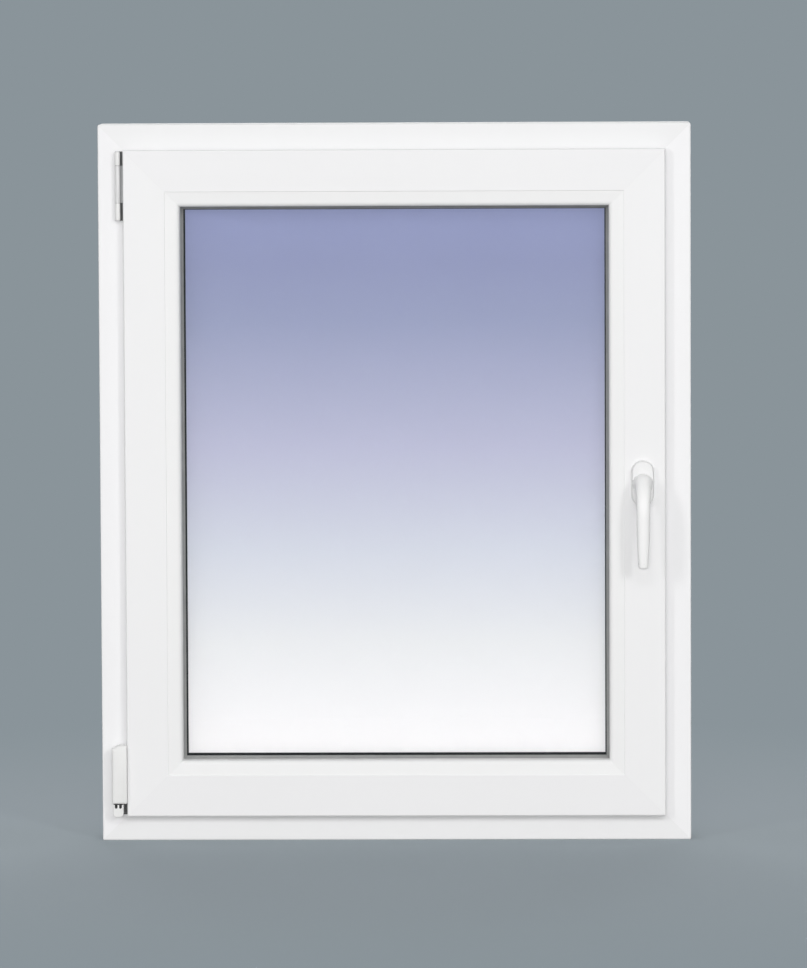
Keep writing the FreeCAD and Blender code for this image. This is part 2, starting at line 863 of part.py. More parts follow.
def hinge_end_cap(label, low, high, pin_low, pin_high, end_z):
    """A cap at one end of the upper hinge: closed and rounded there, bored for the pin."""
    body = doc.addObject("PartDesign::Body", "EndCap")
    barrel = body.newObject("PartDesign::AdditiveCylinder", "EndBarrel")
    bind(barrel, "Radius", size("barrel_radius"))
    bind(barrel, "Height", high - low)
    place(barrel, hinge_x, hinge_y, low)
    doc.recompute()
    rim = []
    for index, edge in enumerate(barrel.Shape.Edges, start=1):
        box = edge.BoundBox
        if max(abs(box.ZMin - end_z.number), abs(box.ZMax - end_z.number)) < MATCH_MM:
            rim.append(f"Edge{index}")
    round_edges(body, barrel, rim, size("barrel_round"))
    take_round(body, size("hinge_pin_radius"), hinge_x, hinge_y, pin_low, pin_high)
    return node(body, label)


def hinge_web(low, high, rear):
    """The upright web that joins a hinge's plate to the back of its barrel."""
    half = size("barrel_web") / 2
    back = hinge_y + size("barrel_radius") * WEB_SEAT
    web = block("Web", (hinge_x - half, back, low), (hinge_x + half, rear, high))
    clear = rod("WebClear", size("barrel_radius"), high - low, hinge_x, hinge_y, low)
    return cut("WebSeated", web, clear)


def make_upper_hinge():
    """Steel bracket and stay arm with three barrel-shaped caps on one upright pin."""
    top = size("frame_height") - sash_edge - size("upper_hinge_drop")
    stay_high = top - size("top_cap_length")
    stay_low = stay_high - size("stay_cap_length")
    bottom = stay_low - size("bottom_cap_length")
    gap, ending = size("cap_joint_gap"), size("pin_end_cover")
    plate_front = frame_front - size("hinge_plate")
    plate_left = hinge_x - size("barrel_radius")
    plate_right = sash_left + size("hinge_plate_reach")
    plate = block("BracketPlate", (plate_left, plate_front, bottom), (plate_right, frame_front, top))
    webs = [hinge_web(stay_high, top - ending, plate_front)]
    webs.append(hinge_web(bottom + ending, stay_low, plate_front))
    node(fused("Bracket", plate, *webs), "upper_hinge_bracket")
    arm_rear = plate_front - size("running_gap")
    arm_front = arm_rear - size("stay_plate")
    arm_low, arm_high = stay_low + gap, stay_high - gap
    half = size("barrel_web") / 2
    arm = block("StayPlate", (hinge_x - half, arm_front, arm_low), (plate_right, arm_rear, arm_high))
    node(fused("StayArm", arm, hinge_web(arm_low, arm_high, arm_rear)), "upper_hinge_stay_arm")
    pin_low, pin_high = bottom + ending, top - ending
    hinge_end_cap("upper_hinge_top_cap", stay_high, top, stay_high, pin_high, top)
    hinge_cap("upper_hinge_stay_cap", arm_low, arm_high)
    hinge_end_cap("upper_hinge_bottom_cap", bottom, stay_low, pin_low, stay_low, bottom)
    pin = rod("HingePin", size("hinge_pin_radius"), pin_high - pin_low, hinge_x, hinge_y, pin_low)
    node(pin, "upper_hinge_pin")


cover_bottom = sash_edge + size("cover_lift")
bearing_bottom = sash_edge + size("bearing_lift")
bearing_top = bearing_bottom + size("bearing_height")


def make_lower_hinge():
    """Corner bearing on the frame, the pivot in it, the sash leaf and its moulded cover."""
    plate_front = frame_front - size("hinge_plate")
    leaf_rear = plate_front - size("running_gap")
    leaf_front = leaf_rear - size("leaf_plate")
    cover_front = frame_front - size("cover_stand")
    pivot_y = (leaf_front + cover_front) / 2
    make_cover(leaf_front, cover_front)
    make_bearing(plate_front, pivot_y)
    make_leaf(leaf_front, leaf_rear, pivot_y)
    low = bearing_top - size("pivot_seat")
    pivot = rod("Pivot", size("pivot_radius"), size("pivot_length"), hinge_x, pivot_y, low)
    node(pivot, "lower_hinge_pivot")


def take_box(body, low, high):
    """Takes the box between two corners out of a body."""
    box = body.newObject("PartDesign::SubtractiveBox", "BoxCut")
    spans = [as_size(far) - as_size(near) for near, far in zip(low, high)]
    for prop, span in zip(("Length", "Width", "Height"), spans):
        bind(box, prop, span)
    place(box, *low)
    doc.recompute()
    return box


def take_round(body, radius, x, y, low, high):
    """Takes an upright cylinder out of a body."""
    hole = body.newObject("PartDesign::SubtractiveCylinder", "RoundCut")
    bind(hole, "Radius", radius)
    bind(hole, "Height", high - low)
    place(hole, x, y, low)
    doc.recompute()
    return hole


def upright_edges(feature, spots, shortest):
    """The names of a feature's edges along Y that pass through the given x and z."""
    names = []
    for index, edge in enumerate(feature.Shape.Edges, start=1):
        box = edge.BoundBox
        if box.YLength < shortest:
            continue
        for x, z in spots:
            if math.hypot(box.Center.x - x.number, box.Center.z - z.number) < MATCH_MM:
                names.append(f"Edge{index}")
    return names


def front_edges(feature, y):
    """The names of a feature's edges that lie in its face at one depth."""
    names = []
    for index, edge in enumerate(feature.Shape.Edges, start=1):
        box = edge.BoundBox
        if max(abs(box.YMin - y.number), abs(box.YMax - y.number)) < MATCH_MM:
            names.append(f"Edge{index}")
    return names


def round_edges(body, feature, names, radius):
    """A fillet on named edges of a body's last feature."""
    ease = body.newObject("PartDesign::Fillet", "Easing")
    ease.Base = (feature, names)
    bind(ease, "Radius", radius)
    doc.recompute()
    return ease


def moulding(name, corners, front, rear):
    """A body whose outline, seen from the room, is carried from one depth to another."""
    body = doc.addObject("PartDesign::Body", name)
    face = outline(body, "Face", "XZ_Plane", corners)
    pad = body.newObject("PartDesign::Pad", "Moulding")
    pad.Profile = face
    bind(pad, "Length", rear - front)
    doc.recompute()
    place(body, y=rear)
    doc.recompute()
    return body, pad


def make_cover(rear, front):
    """The sash leaf's cover: bevelled, eased, open behind, lipped over the sash's edge."""
    side = sash_left - size("cover_gap")
    left = side - size("cover_width")
    right = sash_left + size("cover_lip")
    bottom = cover_bottom
    top = bottom + size("cover_height")
    corners = [
        (left, bottom),
        (right, bottom),
        (right, top),
        (left + size("cover_bevel_width"), top),
        (left, top - size("cover_bevel_drop")),
    ]
    body, pad = moulding("Cover", corners, front, rear)
    depth = rear - front
    eased_front = round_edges(body, pad, front_edges(pad, -depth), size("cover_round"))
    wall = size("cover_wall")
    take_box(
        body,
        (left + wall, wall - depth, bottom - wall),
        (side - wall, wall, top - size("cover_bevel_drop") - wall),
    )
    over_sash = sash_front - size("running_gap") - rear
    take_box(body, (side, over_sash, bottom - wall), (right + wall, wall, top + wall))
    if eased_front.Shape.Volume <= body.Shape.Volume:
        raise RuntimeError("the cover's hollow took nothing away")
    node(body, "lower_hinge_cover")


def make_bearing(rear, pivot_y):
    """The frame's corner bearing: rounded below, notched at the top, bored for the pivot."""
    right = sash_left - size("bearing_gap")
    left = right - size("bearing_width")
    bottom, top = bearing_bottom, bearing_top
    front = frame_front - size("bearing_stand")
    corners = [(left, bottom), (right, bottom), (right, top), (left, top)]
    body, pad = moulding("Bearing", corners, front, rear)
    below = upright_edges(pad, [(left, bottom), (right, bottom)], MATCH_MM)
    rounded = round_edges(body, pad, below, size("bearing_round"))
    depth = rear - front
    round_edges(body, rounded, front_edges(rounded, -depth), size("bearing_front_round"))
    radius = size("bearing_notch_radius")
    floor = top - size("bearing_notch_deep")
    run_end = size("bearing_notch_run") - depth
    for step in range(2):
        notch = left + size("bearing_notch_first") + step * size("bearing_notch_pitch")
        low = (notch - radius, -depth - radius, floor + radius)
        take_box(body, low, (notch + radius, run_end, top + radius))
        rounding = body.newObject("PartDesign::SubtractiveCylinder", "NotchFloor")
        bind(rounding, "Radius", radius)
        bind(rounding, "Height", size("bearing_notch_run") + radius)
        place(rounding, notch, run_end, floor + radius, axis=(1, 0, 0), angle=90)
        doc.recompute()
    seat = top - size("pivot_seat")
    take_round(body, size("pivot_radius"), hinge_x, pivot_y - rear, seat, top + radius)
    node(body, "lower_hinge_bearing")
    plate_left = left + size("bearing_front_round")
    plate_right = sash_left + size("hinge_plate_reach")
    plate = block("BearingPlate", (plate_left, rear, bottom + radius), (plate_right, frame_front, top))
    node(plate, "lower_hinge_frame_plate")


def make_leaf(front, rear, pivot_y):
    """The steel leaf behind the cover, with the knuckle that sits on the pivot."""
    bottom = cover_bottom
    left = hinge_x - size("leaf_knuckle_radius")
    right = sash_left + size("hinge_plate_reach")
    leaf = block("Leaf", (left, front, bottom), (right, rear, bottom + size("leaf_height")))
    length = size("leaf_knuckle")
    radius = size("leaf_knuckle_radius")
    barrel = rod("LeafKnuckle", radius, length, hinge_x, pivot_y, bottom)
    web = block(
        "LeafWeb",
        (hinge_x - radius / 2, pivot_y, bottom),
        (hinge_x + radius / 2, front, bottom + length),
    )
    bore = rod("LeafBore", size("pivot_radius"), length, hinge_x, pivot_y, bottom)
    node(cut("LeafBored", fused("LeafBody", leaf, web, barrel), bore), "lower_hinge_sash_leaf")


def add_box(body, name, low, high):
    """Adds the box between two corners to a body."""
    box = body.newObject("PartDesign::AdditiveBox", name)
    spans = [as_size(far) - as_size(near) for near, far in zip(low, high)]
    for prop, span in zip(("Length", "Width", "Height"), spans):
        bind(box, prop, span)
    place(box, *low)
    doc.recompute()
    return box


def make_drain_caps():
    """Hoods over the sill's two drainage slots, each clipped in with a hollow tongue."""
    middle_z = size("drain_height")
    half_high = size("drain_cap_height") / 2
    half_wide = size("drain_cap_width") / 2
    slot_high = size("drain_slot_height") / 2
    slot_wide = size("drain_slot_width") / 2
    thick, wall = size("drain_cap_thickness"), size("drain_cap_wall")
    outer = frame_rear + thick
    for hand, label in ((-1, "drain_cap_left"), (1, "drain_cap_right")):
        middle = hand * (half_width - size("drain_inset"))
        body = doc.addObject("PartDesign::Body", label)
        hood = add_box(
            body,
            "Hood",
            (middle - half_wide, frame_rear, middle_z - half_high),
            (middle + half_wide, outer, middle_z + half_high),
        )
        round_edges(body, hood, front_edges(hood, outer), size("drain_cap_round"))
        add_box(
            body,
            "Tongue",
            (middle - slot_wide, frame_rear - thick, middle_z - slot_high),
            (middle + slot_wide, frame_rear, middle_z + slot_high),
        )
        take_box(
            body,
            (middle - slot_wide + wall, frame_rear - thick, middle_z - half_high),
            (middle + slot_wide - wall, outer - wall, middle_z + slot_high - wall / 2),
        )
        node(body, label)


def checked(thing):
    """Stops on a sub-part that is missing, broken or not closed."""
    shape = thing.Shape
    if shape.isNull() or not shape.isValid() or not shape.Solids:
        raise RuntimeError(f"{thing.Label} has no valid solid")
    return shape


def write_parts():
    """Recomputes, checks every object and writes one file for each sub-part."""
    doc.recompute()
    for thing in doc.Objects:
        if "Invalid" in thing.State or "Error" in thing.State:
            raise RuntimeError(f"{thing.Label} failed: {thing.State}")
    os.makedirs(OUT_FOLDER, exist_ok=True)
    shapes = {thing.Label: checked(thing) for thing in NODES}
    for label, shape in shapes.items():
        shape.exportStep(f"{OUT_FOLDER}/{label}.step")
        print(f"{label}: {len(shape.Solids)} solid, {shape.Volume / 1000:.1f} cm3")


fill_sheet()
make_frame()
make_sash()
make_beads()
make_gaskets()
make_glass()
make_rosette()
make_lever()
make_upper_hinge()
make_lower_hinge()
make_drain_caps()
write_parts()
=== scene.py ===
"""Looks of the tilt and turn window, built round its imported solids.

Metres. X runs to the right seen from the room, Y to the outside and Z up, with the origin in the
middle of the underside of the sill bar. Bars, panes, seals, steel and the lower hinge's bearing
keep their solids and get their finishes here. The cast lever, its rosette, the upper hinge's
barrel caps and the lower hinge's cover are modelled again as smooth meshes in the same places.
"""

import logging
import math
from collections.abc import Iterable, Sequence
from dataclasses import dataclass, field
from enum import Enum
from typing import ClassVar

import bmesh
import bpy
from mathutils import Matrix, Vector


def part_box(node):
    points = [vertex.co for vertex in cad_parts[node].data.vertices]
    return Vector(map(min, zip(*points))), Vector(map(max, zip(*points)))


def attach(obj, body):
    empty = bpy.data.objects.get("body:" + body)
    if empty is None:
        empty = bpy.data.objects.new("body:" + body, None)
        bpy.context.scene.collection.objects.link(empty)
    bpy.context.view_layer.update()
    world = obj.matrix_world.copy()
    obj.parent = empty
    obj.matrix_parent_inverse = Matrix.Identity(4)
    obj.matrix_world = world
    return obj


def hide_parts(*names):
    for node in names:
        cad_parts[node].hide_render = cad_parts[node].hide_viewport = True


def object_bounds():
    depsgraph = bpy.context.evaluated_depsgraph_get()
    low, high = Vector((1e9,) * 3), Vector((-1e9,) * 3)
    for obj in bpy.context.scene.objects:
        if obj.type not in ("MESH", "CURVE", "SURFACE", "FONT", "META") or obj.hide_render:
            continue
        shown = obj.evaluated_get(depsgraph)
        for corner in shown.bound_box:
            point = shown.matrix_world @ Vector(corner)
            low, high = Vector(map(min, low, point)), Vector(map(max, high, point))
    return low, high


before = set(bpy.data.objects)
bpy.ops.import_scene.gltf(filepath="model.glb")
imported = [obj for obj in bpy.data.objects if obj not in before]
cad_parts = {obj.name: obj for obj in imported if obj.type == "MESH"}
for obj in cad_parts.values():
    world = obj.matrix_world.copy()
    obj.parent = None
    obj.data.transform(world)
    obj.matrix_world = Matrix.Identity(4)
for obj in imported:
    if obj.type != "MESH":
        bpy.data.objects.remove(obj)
CAD_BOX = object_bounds()

LOG = logging.getLogger("window")
MM = 0.001
HALF_WIDTH, _, HEIGHT = CAD_BOX[1]
NOISE_SPAN = (0.3, 0.7)
GLASS_IOR = 1.5
BLACK = (0.0, 0.0, 0.0)
SHARP_ANGLE = math.radians(40)

Colour = tuple[float, float, float]
Span = tuple[object, object]
Ring = list[Vector]
Socket = bpy.types.NodeSocket


def tone(red: int, green: int, blue: int) -> Colour:
    """A screen colour from 0 to 255 as the linear colour that a material takes.

    Args:
        red: Red level.
        green: Green level.
        blue: Blue level.

    Returns:
        The linear red, green and blue.
    """
    levels = []
    for level in (red, green, blue):
        share = level / 255
        levels.append(share / 12.92 if share <= 0.04045 else ((share + 0.055) / 1.055) ** 2.4)
    return levels[0], levels[1], levels[2]


def smooth(share: float) -> float:
    """A share from 0 to 1 eased at both ends."""
    held = min(max(share, 0.0), 1.0)
    return held * held * (3 - 2 * held)


# Node trees


class Tree:
    """A node tree under construction, with a short call for each kind of node it needs."""

    def __init__(self, nodes: bpy.types.NodeTree) -> None:
        """Takes over an empty tree.

        Args:
            nodes: The tree to fill.
        """
        self.nodes = nodes

    def add(self, kind: str, **settings: object) -> bpy.types.Node:
        """Adds one node.

        Args:
            kind: The node's type name.
            settings: Properties of the node and their values.

        Returns:
            The new node.
        """
        node = self.nodes.nodes.new(kind)
        for name, value in settings.items():
            setattr(node, name, value)
        return node

    def feed(self, socket: Socket, value: object) -> None:
        """Links an output to an input, or sets the input to a constant.

        Args:
            socket: The input.
            value: An output socket, a number, a vector or a colour.
        """
        if isinstance(value, bpy.types.NodeSocket):
            self.nodes.links.new(value, socket)
        elif value is not None:
            socket.default_value = value

    def sum_up(self, operation: str, *values: object) -> Socket:
        """One Math node.

        Args:
            operation: The node's operation.
            values: One to three inputs.

        Returns:
            The result.
        """
        node = self.add("ShaderNodeMath", operation=operation)
        for socket, value in zip(node.inputs, values):
            self.feed(socket, value)
        return node.outputs[0]

    def length(self, first: Socket, second: Socket) -> Socket:
        """The length of a flat vector."""
        squares = [self.sum_up("MULTIPLY", part, part) for part in (first, second)]
        return self.sum_up("SQRT", self.sum_up("ADD", *squares))

    def remap(
        self, value: object, span: Span, result: Span = (0.0, 1.0), way: str = "SMOOTHSTEP"
    ) -> Socket:
        """Carries a value from one span to another and holds it inside that.

        Args:
            value: The value.
            span: Its lowest and highest level.
            result: What those two levels become.
            way: How it gets from one to the other.

        Returns:
            The carried value.
        """
        node = self.add("ShaderNodeMapRange", interpolation_type=way, clamp=True)
        names = ("Value", "From Min", "From Max", "To Min", "To Max")
        for name, number in zip(names, (value, *span, *result)):
            self.feed(node.inputs[name], number)
        return node.outputs["Result"]

    def mix(self, share: object, first: object, second: object) -> Socket:
        """Blends two colours.

        Args:
            share: How much of the second colour shows.
            first: The first colour.
            second: The second colour.

        Returns:
            The blended colour.
        """
        node = self.add("ShaderNodeMix", data_type="RGBA", clamp_factor=True)
        self.feed(node.inputs["Factor"], share)
        colours = [socket for socket in node.inputs if socket.type == "RGBA"]
        self.feed(colours[0], opaque(first))
        self.feed(colours[1], opaque(second))
        return next(socket for socket in node.outputs if socket.type == "RGBA")

    def cloud(self, place: object, size: object, detail: float = 2.0) -> Socket:
        """Soft noise from 0 to 1.

        Args:
            place: The position to read it at.
            size: The width of one cloud, in metres.
            detail: How many finer layers it has.

        Returns:
            The noise.
        """
        node = self.add("ShaderNodeTexNoise")
        self.feed(node.inputs["Vector"], place)
        scale = 1 / size if isinstance(size, float) else self.sum_up("DIVIDE", 1.0, size)
        self.feed(node.inputs["Scale"], scale)
        node.inputs["Detail"].default_value = detail
        return node.outputs[0]

    def split(self, vector: object) -> tuple[Socket, Socket, Socket]:
        """The three parts of a vector."""
        node = self.add("ShaderNodeSeparateXYZ")
        self.feed(node.inputs[0], vector)
        return tuple(node.outputs)

    def inside(self, place: Socket, half_width: object, half_height: object) -> tuple[Socket, Socket]:
        """How far a point lies inside the window's nearer side and inside its nearer end.

        Args:
            place: The point.
            half_width: Half the window's width.
            half_height: Half its height.

        Returns:
            The two distances, in metres.
        """
        x, _, z = self.split(place)
        from_middle = self.sum_up("ABSOLUTE", self.sum_up("SUBTRACT", z, half_height))
        from_side = self.sum_up("SUBTRACT", half_width, self.sum_up("ABSOLUTE", x))
        return from_side, self.sum_up("SUBTRACT", half_height, from_middle)

    def bump(self, height: object, distance: float, normal: object = None) -> Socket:
        """Relief from a height between 0 and 1.

        Args:
            height: The height.
            distance: How far the highest point stands out, in metres.
            normal: The relief beneath this one.

        Returns:
            The changed normal.
        """
        node = self.add("ShaderNodeBump")
        node.inputs["Strength"].default_value = 1.0
        node.inputs["Distance"].default_value = distance
        self.feed(node.inputs["Height"], height)
        self.feed(node.inputs["Normal"], normal)
        return node.outputs[0]


def opaque(colour: object) -> object:
    """A colour of three numbers with full opacity; anything else as it is."""
    if isinstance(colour, tuple) and len(colour) == 3:
        return (*colour, 1.0)
    return colour


# Shared effects


class Effect:
    """An effect of more than one material: a node group with named inputs and outputs."""

    name: ClassVar[str] = ""
    takes: ClassVar[dict[str, object]] = {}
    gives: ClassVar[tuple[str, ...]] = ()

    def group(self) -> bpy.types.NodeTree:
        """The effect's node group, built at its first use.

        Returns:
            The group.
        """
        found = bpy.data.node_groups.get(self.name)
        if found is not None:
            return found
        group = bpy.data.node_groups.new(self.name, "ShaderNodeTree")
        for name, value in self.takes.items():
            kind = "NodeSocketVector" if value is None else "NodeSocketFloat"
            socket = group.interface.new_socket(name, in_out="INPUT", socket_type=kind)
            if value is not None:
                socket.default_value = value
        for name in self.gives:
            group.interface.new_socket(name, in_out="OUTPUT", socket_type="NodeSocketFloat")
        tree = Tree(group)
        given = {socket.name: socket for socket in tree.add("NodeGroupInput").outputs if socket.name}
        made = self.wire(tree, given)
        out = tree.add("NodeGroupOutput")
        for name in self.gives:
            tree.feed(out.inputs[name], made[name])
        return group

    def wire(self, tree: Tree, given: dict[str, Socket]) -> dict[str, Socket]:
        """Fills the group.

        Args:
            tree: The group's tree.
            given: The group's inputs by name.

        Returns:
            What feeds each output.
        """
        raise NotImplementedError


class SurfaceGrain(Effect):
    """The fine texture of a moulded, cast or rubber skin, and its slow change of tone."""

    name = "surface_grain"
    takes = {"Place": None, "Grain Size": 0.0005, "Cloud Size": 0.12}
    gives = ("Grain", "Cloud")

    def wire(self, tree: Tree, given: dict[str, Socket]) -> dict[str, Socket]:
        """Two layers of noise at the given sizes."""
        return {
            "Grain": tree.cloud(given["Place"], given["Grain Size"], detail=3.0),
            "Cloud": tree.cloud(given["Place"], given["Cloud Size"], detail=1.0),
        }


class DrawnLines(Effect):
    """Faint lines that a die leaves along a drawn or extruded bar."""

    name = "drawn_lines"
    takes = {"Place": None, "Upright": 0.0, "Pitch": 0.0012, "Run": 0.6}
    gives = ("Lines",)

    def wire(self, tree: Tree, given: dict[str, Socket]) -> dict[str, Socket]:
        """Noise that is drawn out along the bar and short across it.

        Args:
            tree: The group's tree.
            given: The group's inputs by name.

        Returns:
            What feeds each output.
        """
        fine = tree.sum_up("DIVIDE", 1.0, given["Pitch"])
        slow = tree.sum_up("DIVIDE", 1.0, given["Run"])
        change = tree.sum_up("SUBTRACT", slow, fine)
        along_z = tree.sum_up("MULTIPLY_ADD", given["Upright"], change, fine)
        level = tree.sum_up("SUBTRACT", 1.0, given["Upright"])
        along_x = tree.sum_up("MULTIPLY_ADD", level, change, fine)
        drawn = tree.add("ShaderNodeCombineXYZ")
        parts = zip(drawn.inputs, tree.split(given["Place"]), (along_x, fine, along_z))
        for socket, part, scale in parts:
            tree.feed(socket, tree.sum_up("MULTIPLY", part, scale))
        return {"Lines": tree.cloud(drawn.outputs[0], 1.0)}


class WeldSeam(Effect):
    """The fine groove of a dressed weld, on the diagonal of every corner of the window."""

    name = "weld_seam"
    takes = {"Place": None, "Half Width": 0.41, "Height": 0.99, "Groove": 0.0006}
    gives = ("Seam",)

    def wire(self, tree: Tree, given: dict[str, Socket]) -> dict[str, Socket]:
        """Folds the window onto one corner and measures the distance to its diagonal.

        Args:
            tree: The group's tree.
            given: The group's inputs by name.

        Returns:
            What feeds each output.
        """
        half_height = tree.sum_up("DIVIDE", given["Height"], 2.0)
        from_side, from_end = tree.inside(given["Place"], given["Half Width"], half_height)
        gap = tree.sum_up("ABSOLUTE", tree.sum_up("SUBTRACT", from_side, from_end))
        off = tree.sum_up("MULTIPLY", gap, math.sqrt(0.5))
        return {"Seam": tree.remap(off, (0.0, given["Groove"]), (1.0, 0.0))}


class EdgeWear(Effect):
    """Rubbed ridges: where the surface turns outward sharply, broken up by noise."""

    name = "edge_wear"
    takes = {"Place": None, "Patch Size": 0.004, "Start": 0.54, "End": 0.62}
    gives = ("Wear",)
    patch_span: ClassVar[Span] = (0.35, 0.65)

    def wire(self, tree: Tree, given: dict[str, Socket]) -> dict[str, Socket]:
        """Pointed places of the mesh times patches of noise.

        Args:
            tree: The group's tree.
            given: The group's inputs by name.

        Returns:
            What feeds each output.
        """
        ridge = tree.add("ShaderNodeNewGeometry").outputs["Pointiness"]
        sharp = tree.remap(ridge, (given["Start"], given["End"]))
        patch = tree.remap(tree.cloud(given["Place"], given["Patch Size"]), self.patch_span)
        return {"Wear": tree.sum_up("MULTIPLY", sharp, patch)}


GRAIN = SurfaceGrain()
LINES = DrawnLines()
SEAM = WeldSeam()
WEAR = EdgeWear()


# Finishes


class Run(Enum):
    """Which way a bar runs."""

    LEVEL = 0.0
    UPRIGHT = 1.0


class Look(Tree):
    """A material under construction: its tree, its main shader and the position on the piece."""

    def __init__(self, nodes: bpy.types.NodeTree) -> None:
        """Adds the main shader, and the position in metres.

        Args:
            nodes: The material's empty tree.
        """
        super().__init__(nodes)
        self.shader = self.add("ShaderNodeBsdfPrincipled")
        self.place = self.add("ShaderNodeTexCoord").outputs["Object"]

    def give(self, name: str, value: object) -> None:
        """Feeds an input of the main shader."""
        self.feed(self.shader.inputs[name], opaque(value))

    def effect(self, made: Effect, **values: object) -> dict[str, Socket]:
        """Places a shared effect with this material's own values.

        Args:
            made: The effect.
            values: Its inputs by name, with underscores for spaces, apart from the position.

        Returns:
            Its outputs by name.
        """
        node = self.add("ShaderNodeGroup", node_tree=made.group())
        for name, value in {"Place": self.place, **values}.items():
            self.feed(node.inputs[name.replace("_", " ")], value)
        return {socket.name: socket for socket in node.outputs}


@dataclass(frozen=True)
class Finish:
    """A finish: its name, its colour and its gloss."""

    name: str
    colour: Colour
    roughness: float

    def material(self) -> bpy.types.Material:
        """The finish as a material, built at its first use.

        Returns:
            The material.
        """
        found = bpy.data.materials.get(self.name)
        if found is not None:
            return found
        material = bpy.data.materials.new(self.name)
        material.use_nodes = True
        material.node_tree.nodes.clear()
        look = Look(material.node_tree)
        look.give("Base Color", self.colour)
        look.give("Roughness", self.roughness)
        self.surface(look)
        out = look.add("ShaderNodeOutputMaterial")
        look.feed(out.inputs["Surface"], look.shader.outputs[0])
        return material

    def surface(self, look: Look) -> None:
        """Adds what changes over the surface.

        Args:
            look: The material.
        """
        raise NotImplementedError

    def shade(self, look: Look, mask: object, dark: float, light: float) -> Socket:
        """Feeds the base colour, taken between a darker and a lighter tone by a mask.

        Args:
            look: The material.
            mask: 0 for the darker tone, 1 for the lighter one.
            dark: The darker tone as a share of the colour.
            light: The lighter tone as a share of the colour.

        Returns:
            The colour that was fed.
        """
        low, high = (tuple(part * share for part in self.colour) for share in (dark, light))
        colour = look.mix(mask, low, high)
        look.give("Base Color", colour)
        return colour

    def vary_gloss(self, look: Look, noise: Socket, spread: float) -> None:
        """Lets the roughness follow a noise, by a spread either way."""
        span = (self.roughness - spread, self.roughness + spread)
        look.give("Roughness", look.remap(noise, NOISE_SPAN, span))


@dataclass(frozen=True)
class ExtrudedPlastic(Finish):
    """White profile plastic: satin, with die lines along the bar and a dressed weld at its ends."""

    run: Run = Run.LEVEL
    line_pitch: float = 0.0014
    line_relief: float = 0.000003
    peel_size: float = 0.006
    peel_relief: float = 0.000008
    cloud_size: float = 0.35
    tones: Span = (0.992, 1.008)
    gloss_spread: float = 0.04
    groove: float = 0.0005
    groove_relief: float = 0.00004
    groove_shade: float = 0.97

    def surface(self, look: Look) -> None:
        """Slow tone, die lines, a soft peel and the weld's groove.

        Args:
            look: The material.
        """
        grain = look.effect(GRAIN, Grain_Size=self.peel_size, Cloud_Size=self.cloud_size)
        lines = look.effect(LINES, Upright=self.run.value, Pitch=self.line_pitch)["Lines"]
        seam = look.effect(SEAM, Half_Width=HALF_WIDTH, Height=HEIGHT, Groove=self.groove)["Seam"]
        colour = self.shade(look, grain["Cloud"], *self.tones)
        grey = tuple(part * self.groove_shade for part in self.colour)
        look.give("Base Color", look.mix(seam, colour, grey))
        self.vary_gloss(look, lines, self.gloss_spread)
        peel = look.bump(grain["Grain"], self.peel_relief)
        drawn = look.bump(lines, self.line_relief, peel)
        depth = look.sum_up("SUBTRACT", 1.0, seam)
        look.give("Normal", look.bump(depth, self.groove_relief, drawn))


@dataclass(frozen=True)
class MouldedSkin(Finish):
    """A fine grain and a slow change of tone, with the values of moulded cap plastic."""

    grain_size: float = 0.0004
    cloud_size: float = 0.03
    tones: Span = (0.97, 1.02)
    gloss_spread: float = 0.06
    relief: float = 0.00002

    def surface(self, look: Look) -> None:
        """Grain in gloss and relief, and clouds in the tone.

        Args:
            look: The material.
        """
        grain = look.effect(GRAIN, Grain_Size=self.grain_size, Cloud_Size=self.cloud_size)
        self.shade(look, grain["Cloud"], *self.tones)
        self.vary_gloss(look, grain["Grain"], self.gloss_spread)
        look.give("Normal", look.bump(grain["Grain"], self.relief))


@dataclass(frozen=True)
class NotchedPlastic(MouldedSkin):
    """Cap plastic with painted shade: black inside the notches and on the seat of the corner bearing.
    """

    notch_painted_shade: Colour = (0.006, 0.006, 0.006)
    edge: float = 0.0006
    depth: float = 0.0058

    def surface(self, look: Look) -> None:
        """Cap plastic, with painted shade blackening it behind the front face near the top.

        Args:
            look: The material.
        """
        super().surface(look)
        low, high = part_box("lower_hinge_bearing")
        x, y, z = look.split(look.place)
        middle = (low.x + high.x) / 2
        half = (high.x - low.x) / 2
        off = look.sum_up("ABSOLUTE", look.sum_up("SUBTRACT", x, middle))
        inside = look.remap(off, (half - 2 * self.edge, half - self.edge), (1.0, 0.0))
        behind = look.remap(y, (low.y + self.edge, low.y + 2 * self.edge))
        above = look.remap(z, (high.z - self.depth, high.z - self.depth + self.edge))
        # Painted shade: black in the notches and on the seat under the cover.
        dark = look.sum_up("MULTIPLY", inside, look.sum_up("MULTIPLY", behind, above))
        plain = look.shader.inputs["Base Color"].links[0].from_socket
        look.give("Base Color", look.mix(dark, plain, self.notch_painted_shade))


@dataclass(frozen=True)
class SealRubber(MouldedSkin):
    """Extruded sealing rubber: matt, with a paler bloom in patches."""

    grain_size: float = 0.0006
    cloud_size: float = 0.02
    tones: Span = (0.85, 1.5)
    gloss_spread: float = 0.08
    relief: float = 0.00005


@dataclass(frozen=True)
class PowderCoat(Finish):
    """Baked white coat on a casting: satin, with a slight peel and ridges polished by the hand."""

    peel_size: float = 0.0018
    cloud_size: float = 0.04
    tones: Span = (0.98, 1.02)
    polish: float = 0.6
    relief: float = 0.00003

    def surface(self, look: Look) -> None:
        """Peel, tone and glossier ridges.

        Args:
            look: The material.
        """
        grain = look.effect(GRAIN, Grain_Size=self.peel_size, Cloud_Size=self.cloud_size)
        wear = look.effect(WEAR)["Wear"]
        self.shade(look, grain["Cloud"], *self.tones)
        polished = (self.roughness, self.roughness * self.polish)
        look.give("Roughness", look.remap(wear, (0.0, 1.0), polished))
        look.give("Normal", look.bump(grain["Grain"], self.relief))


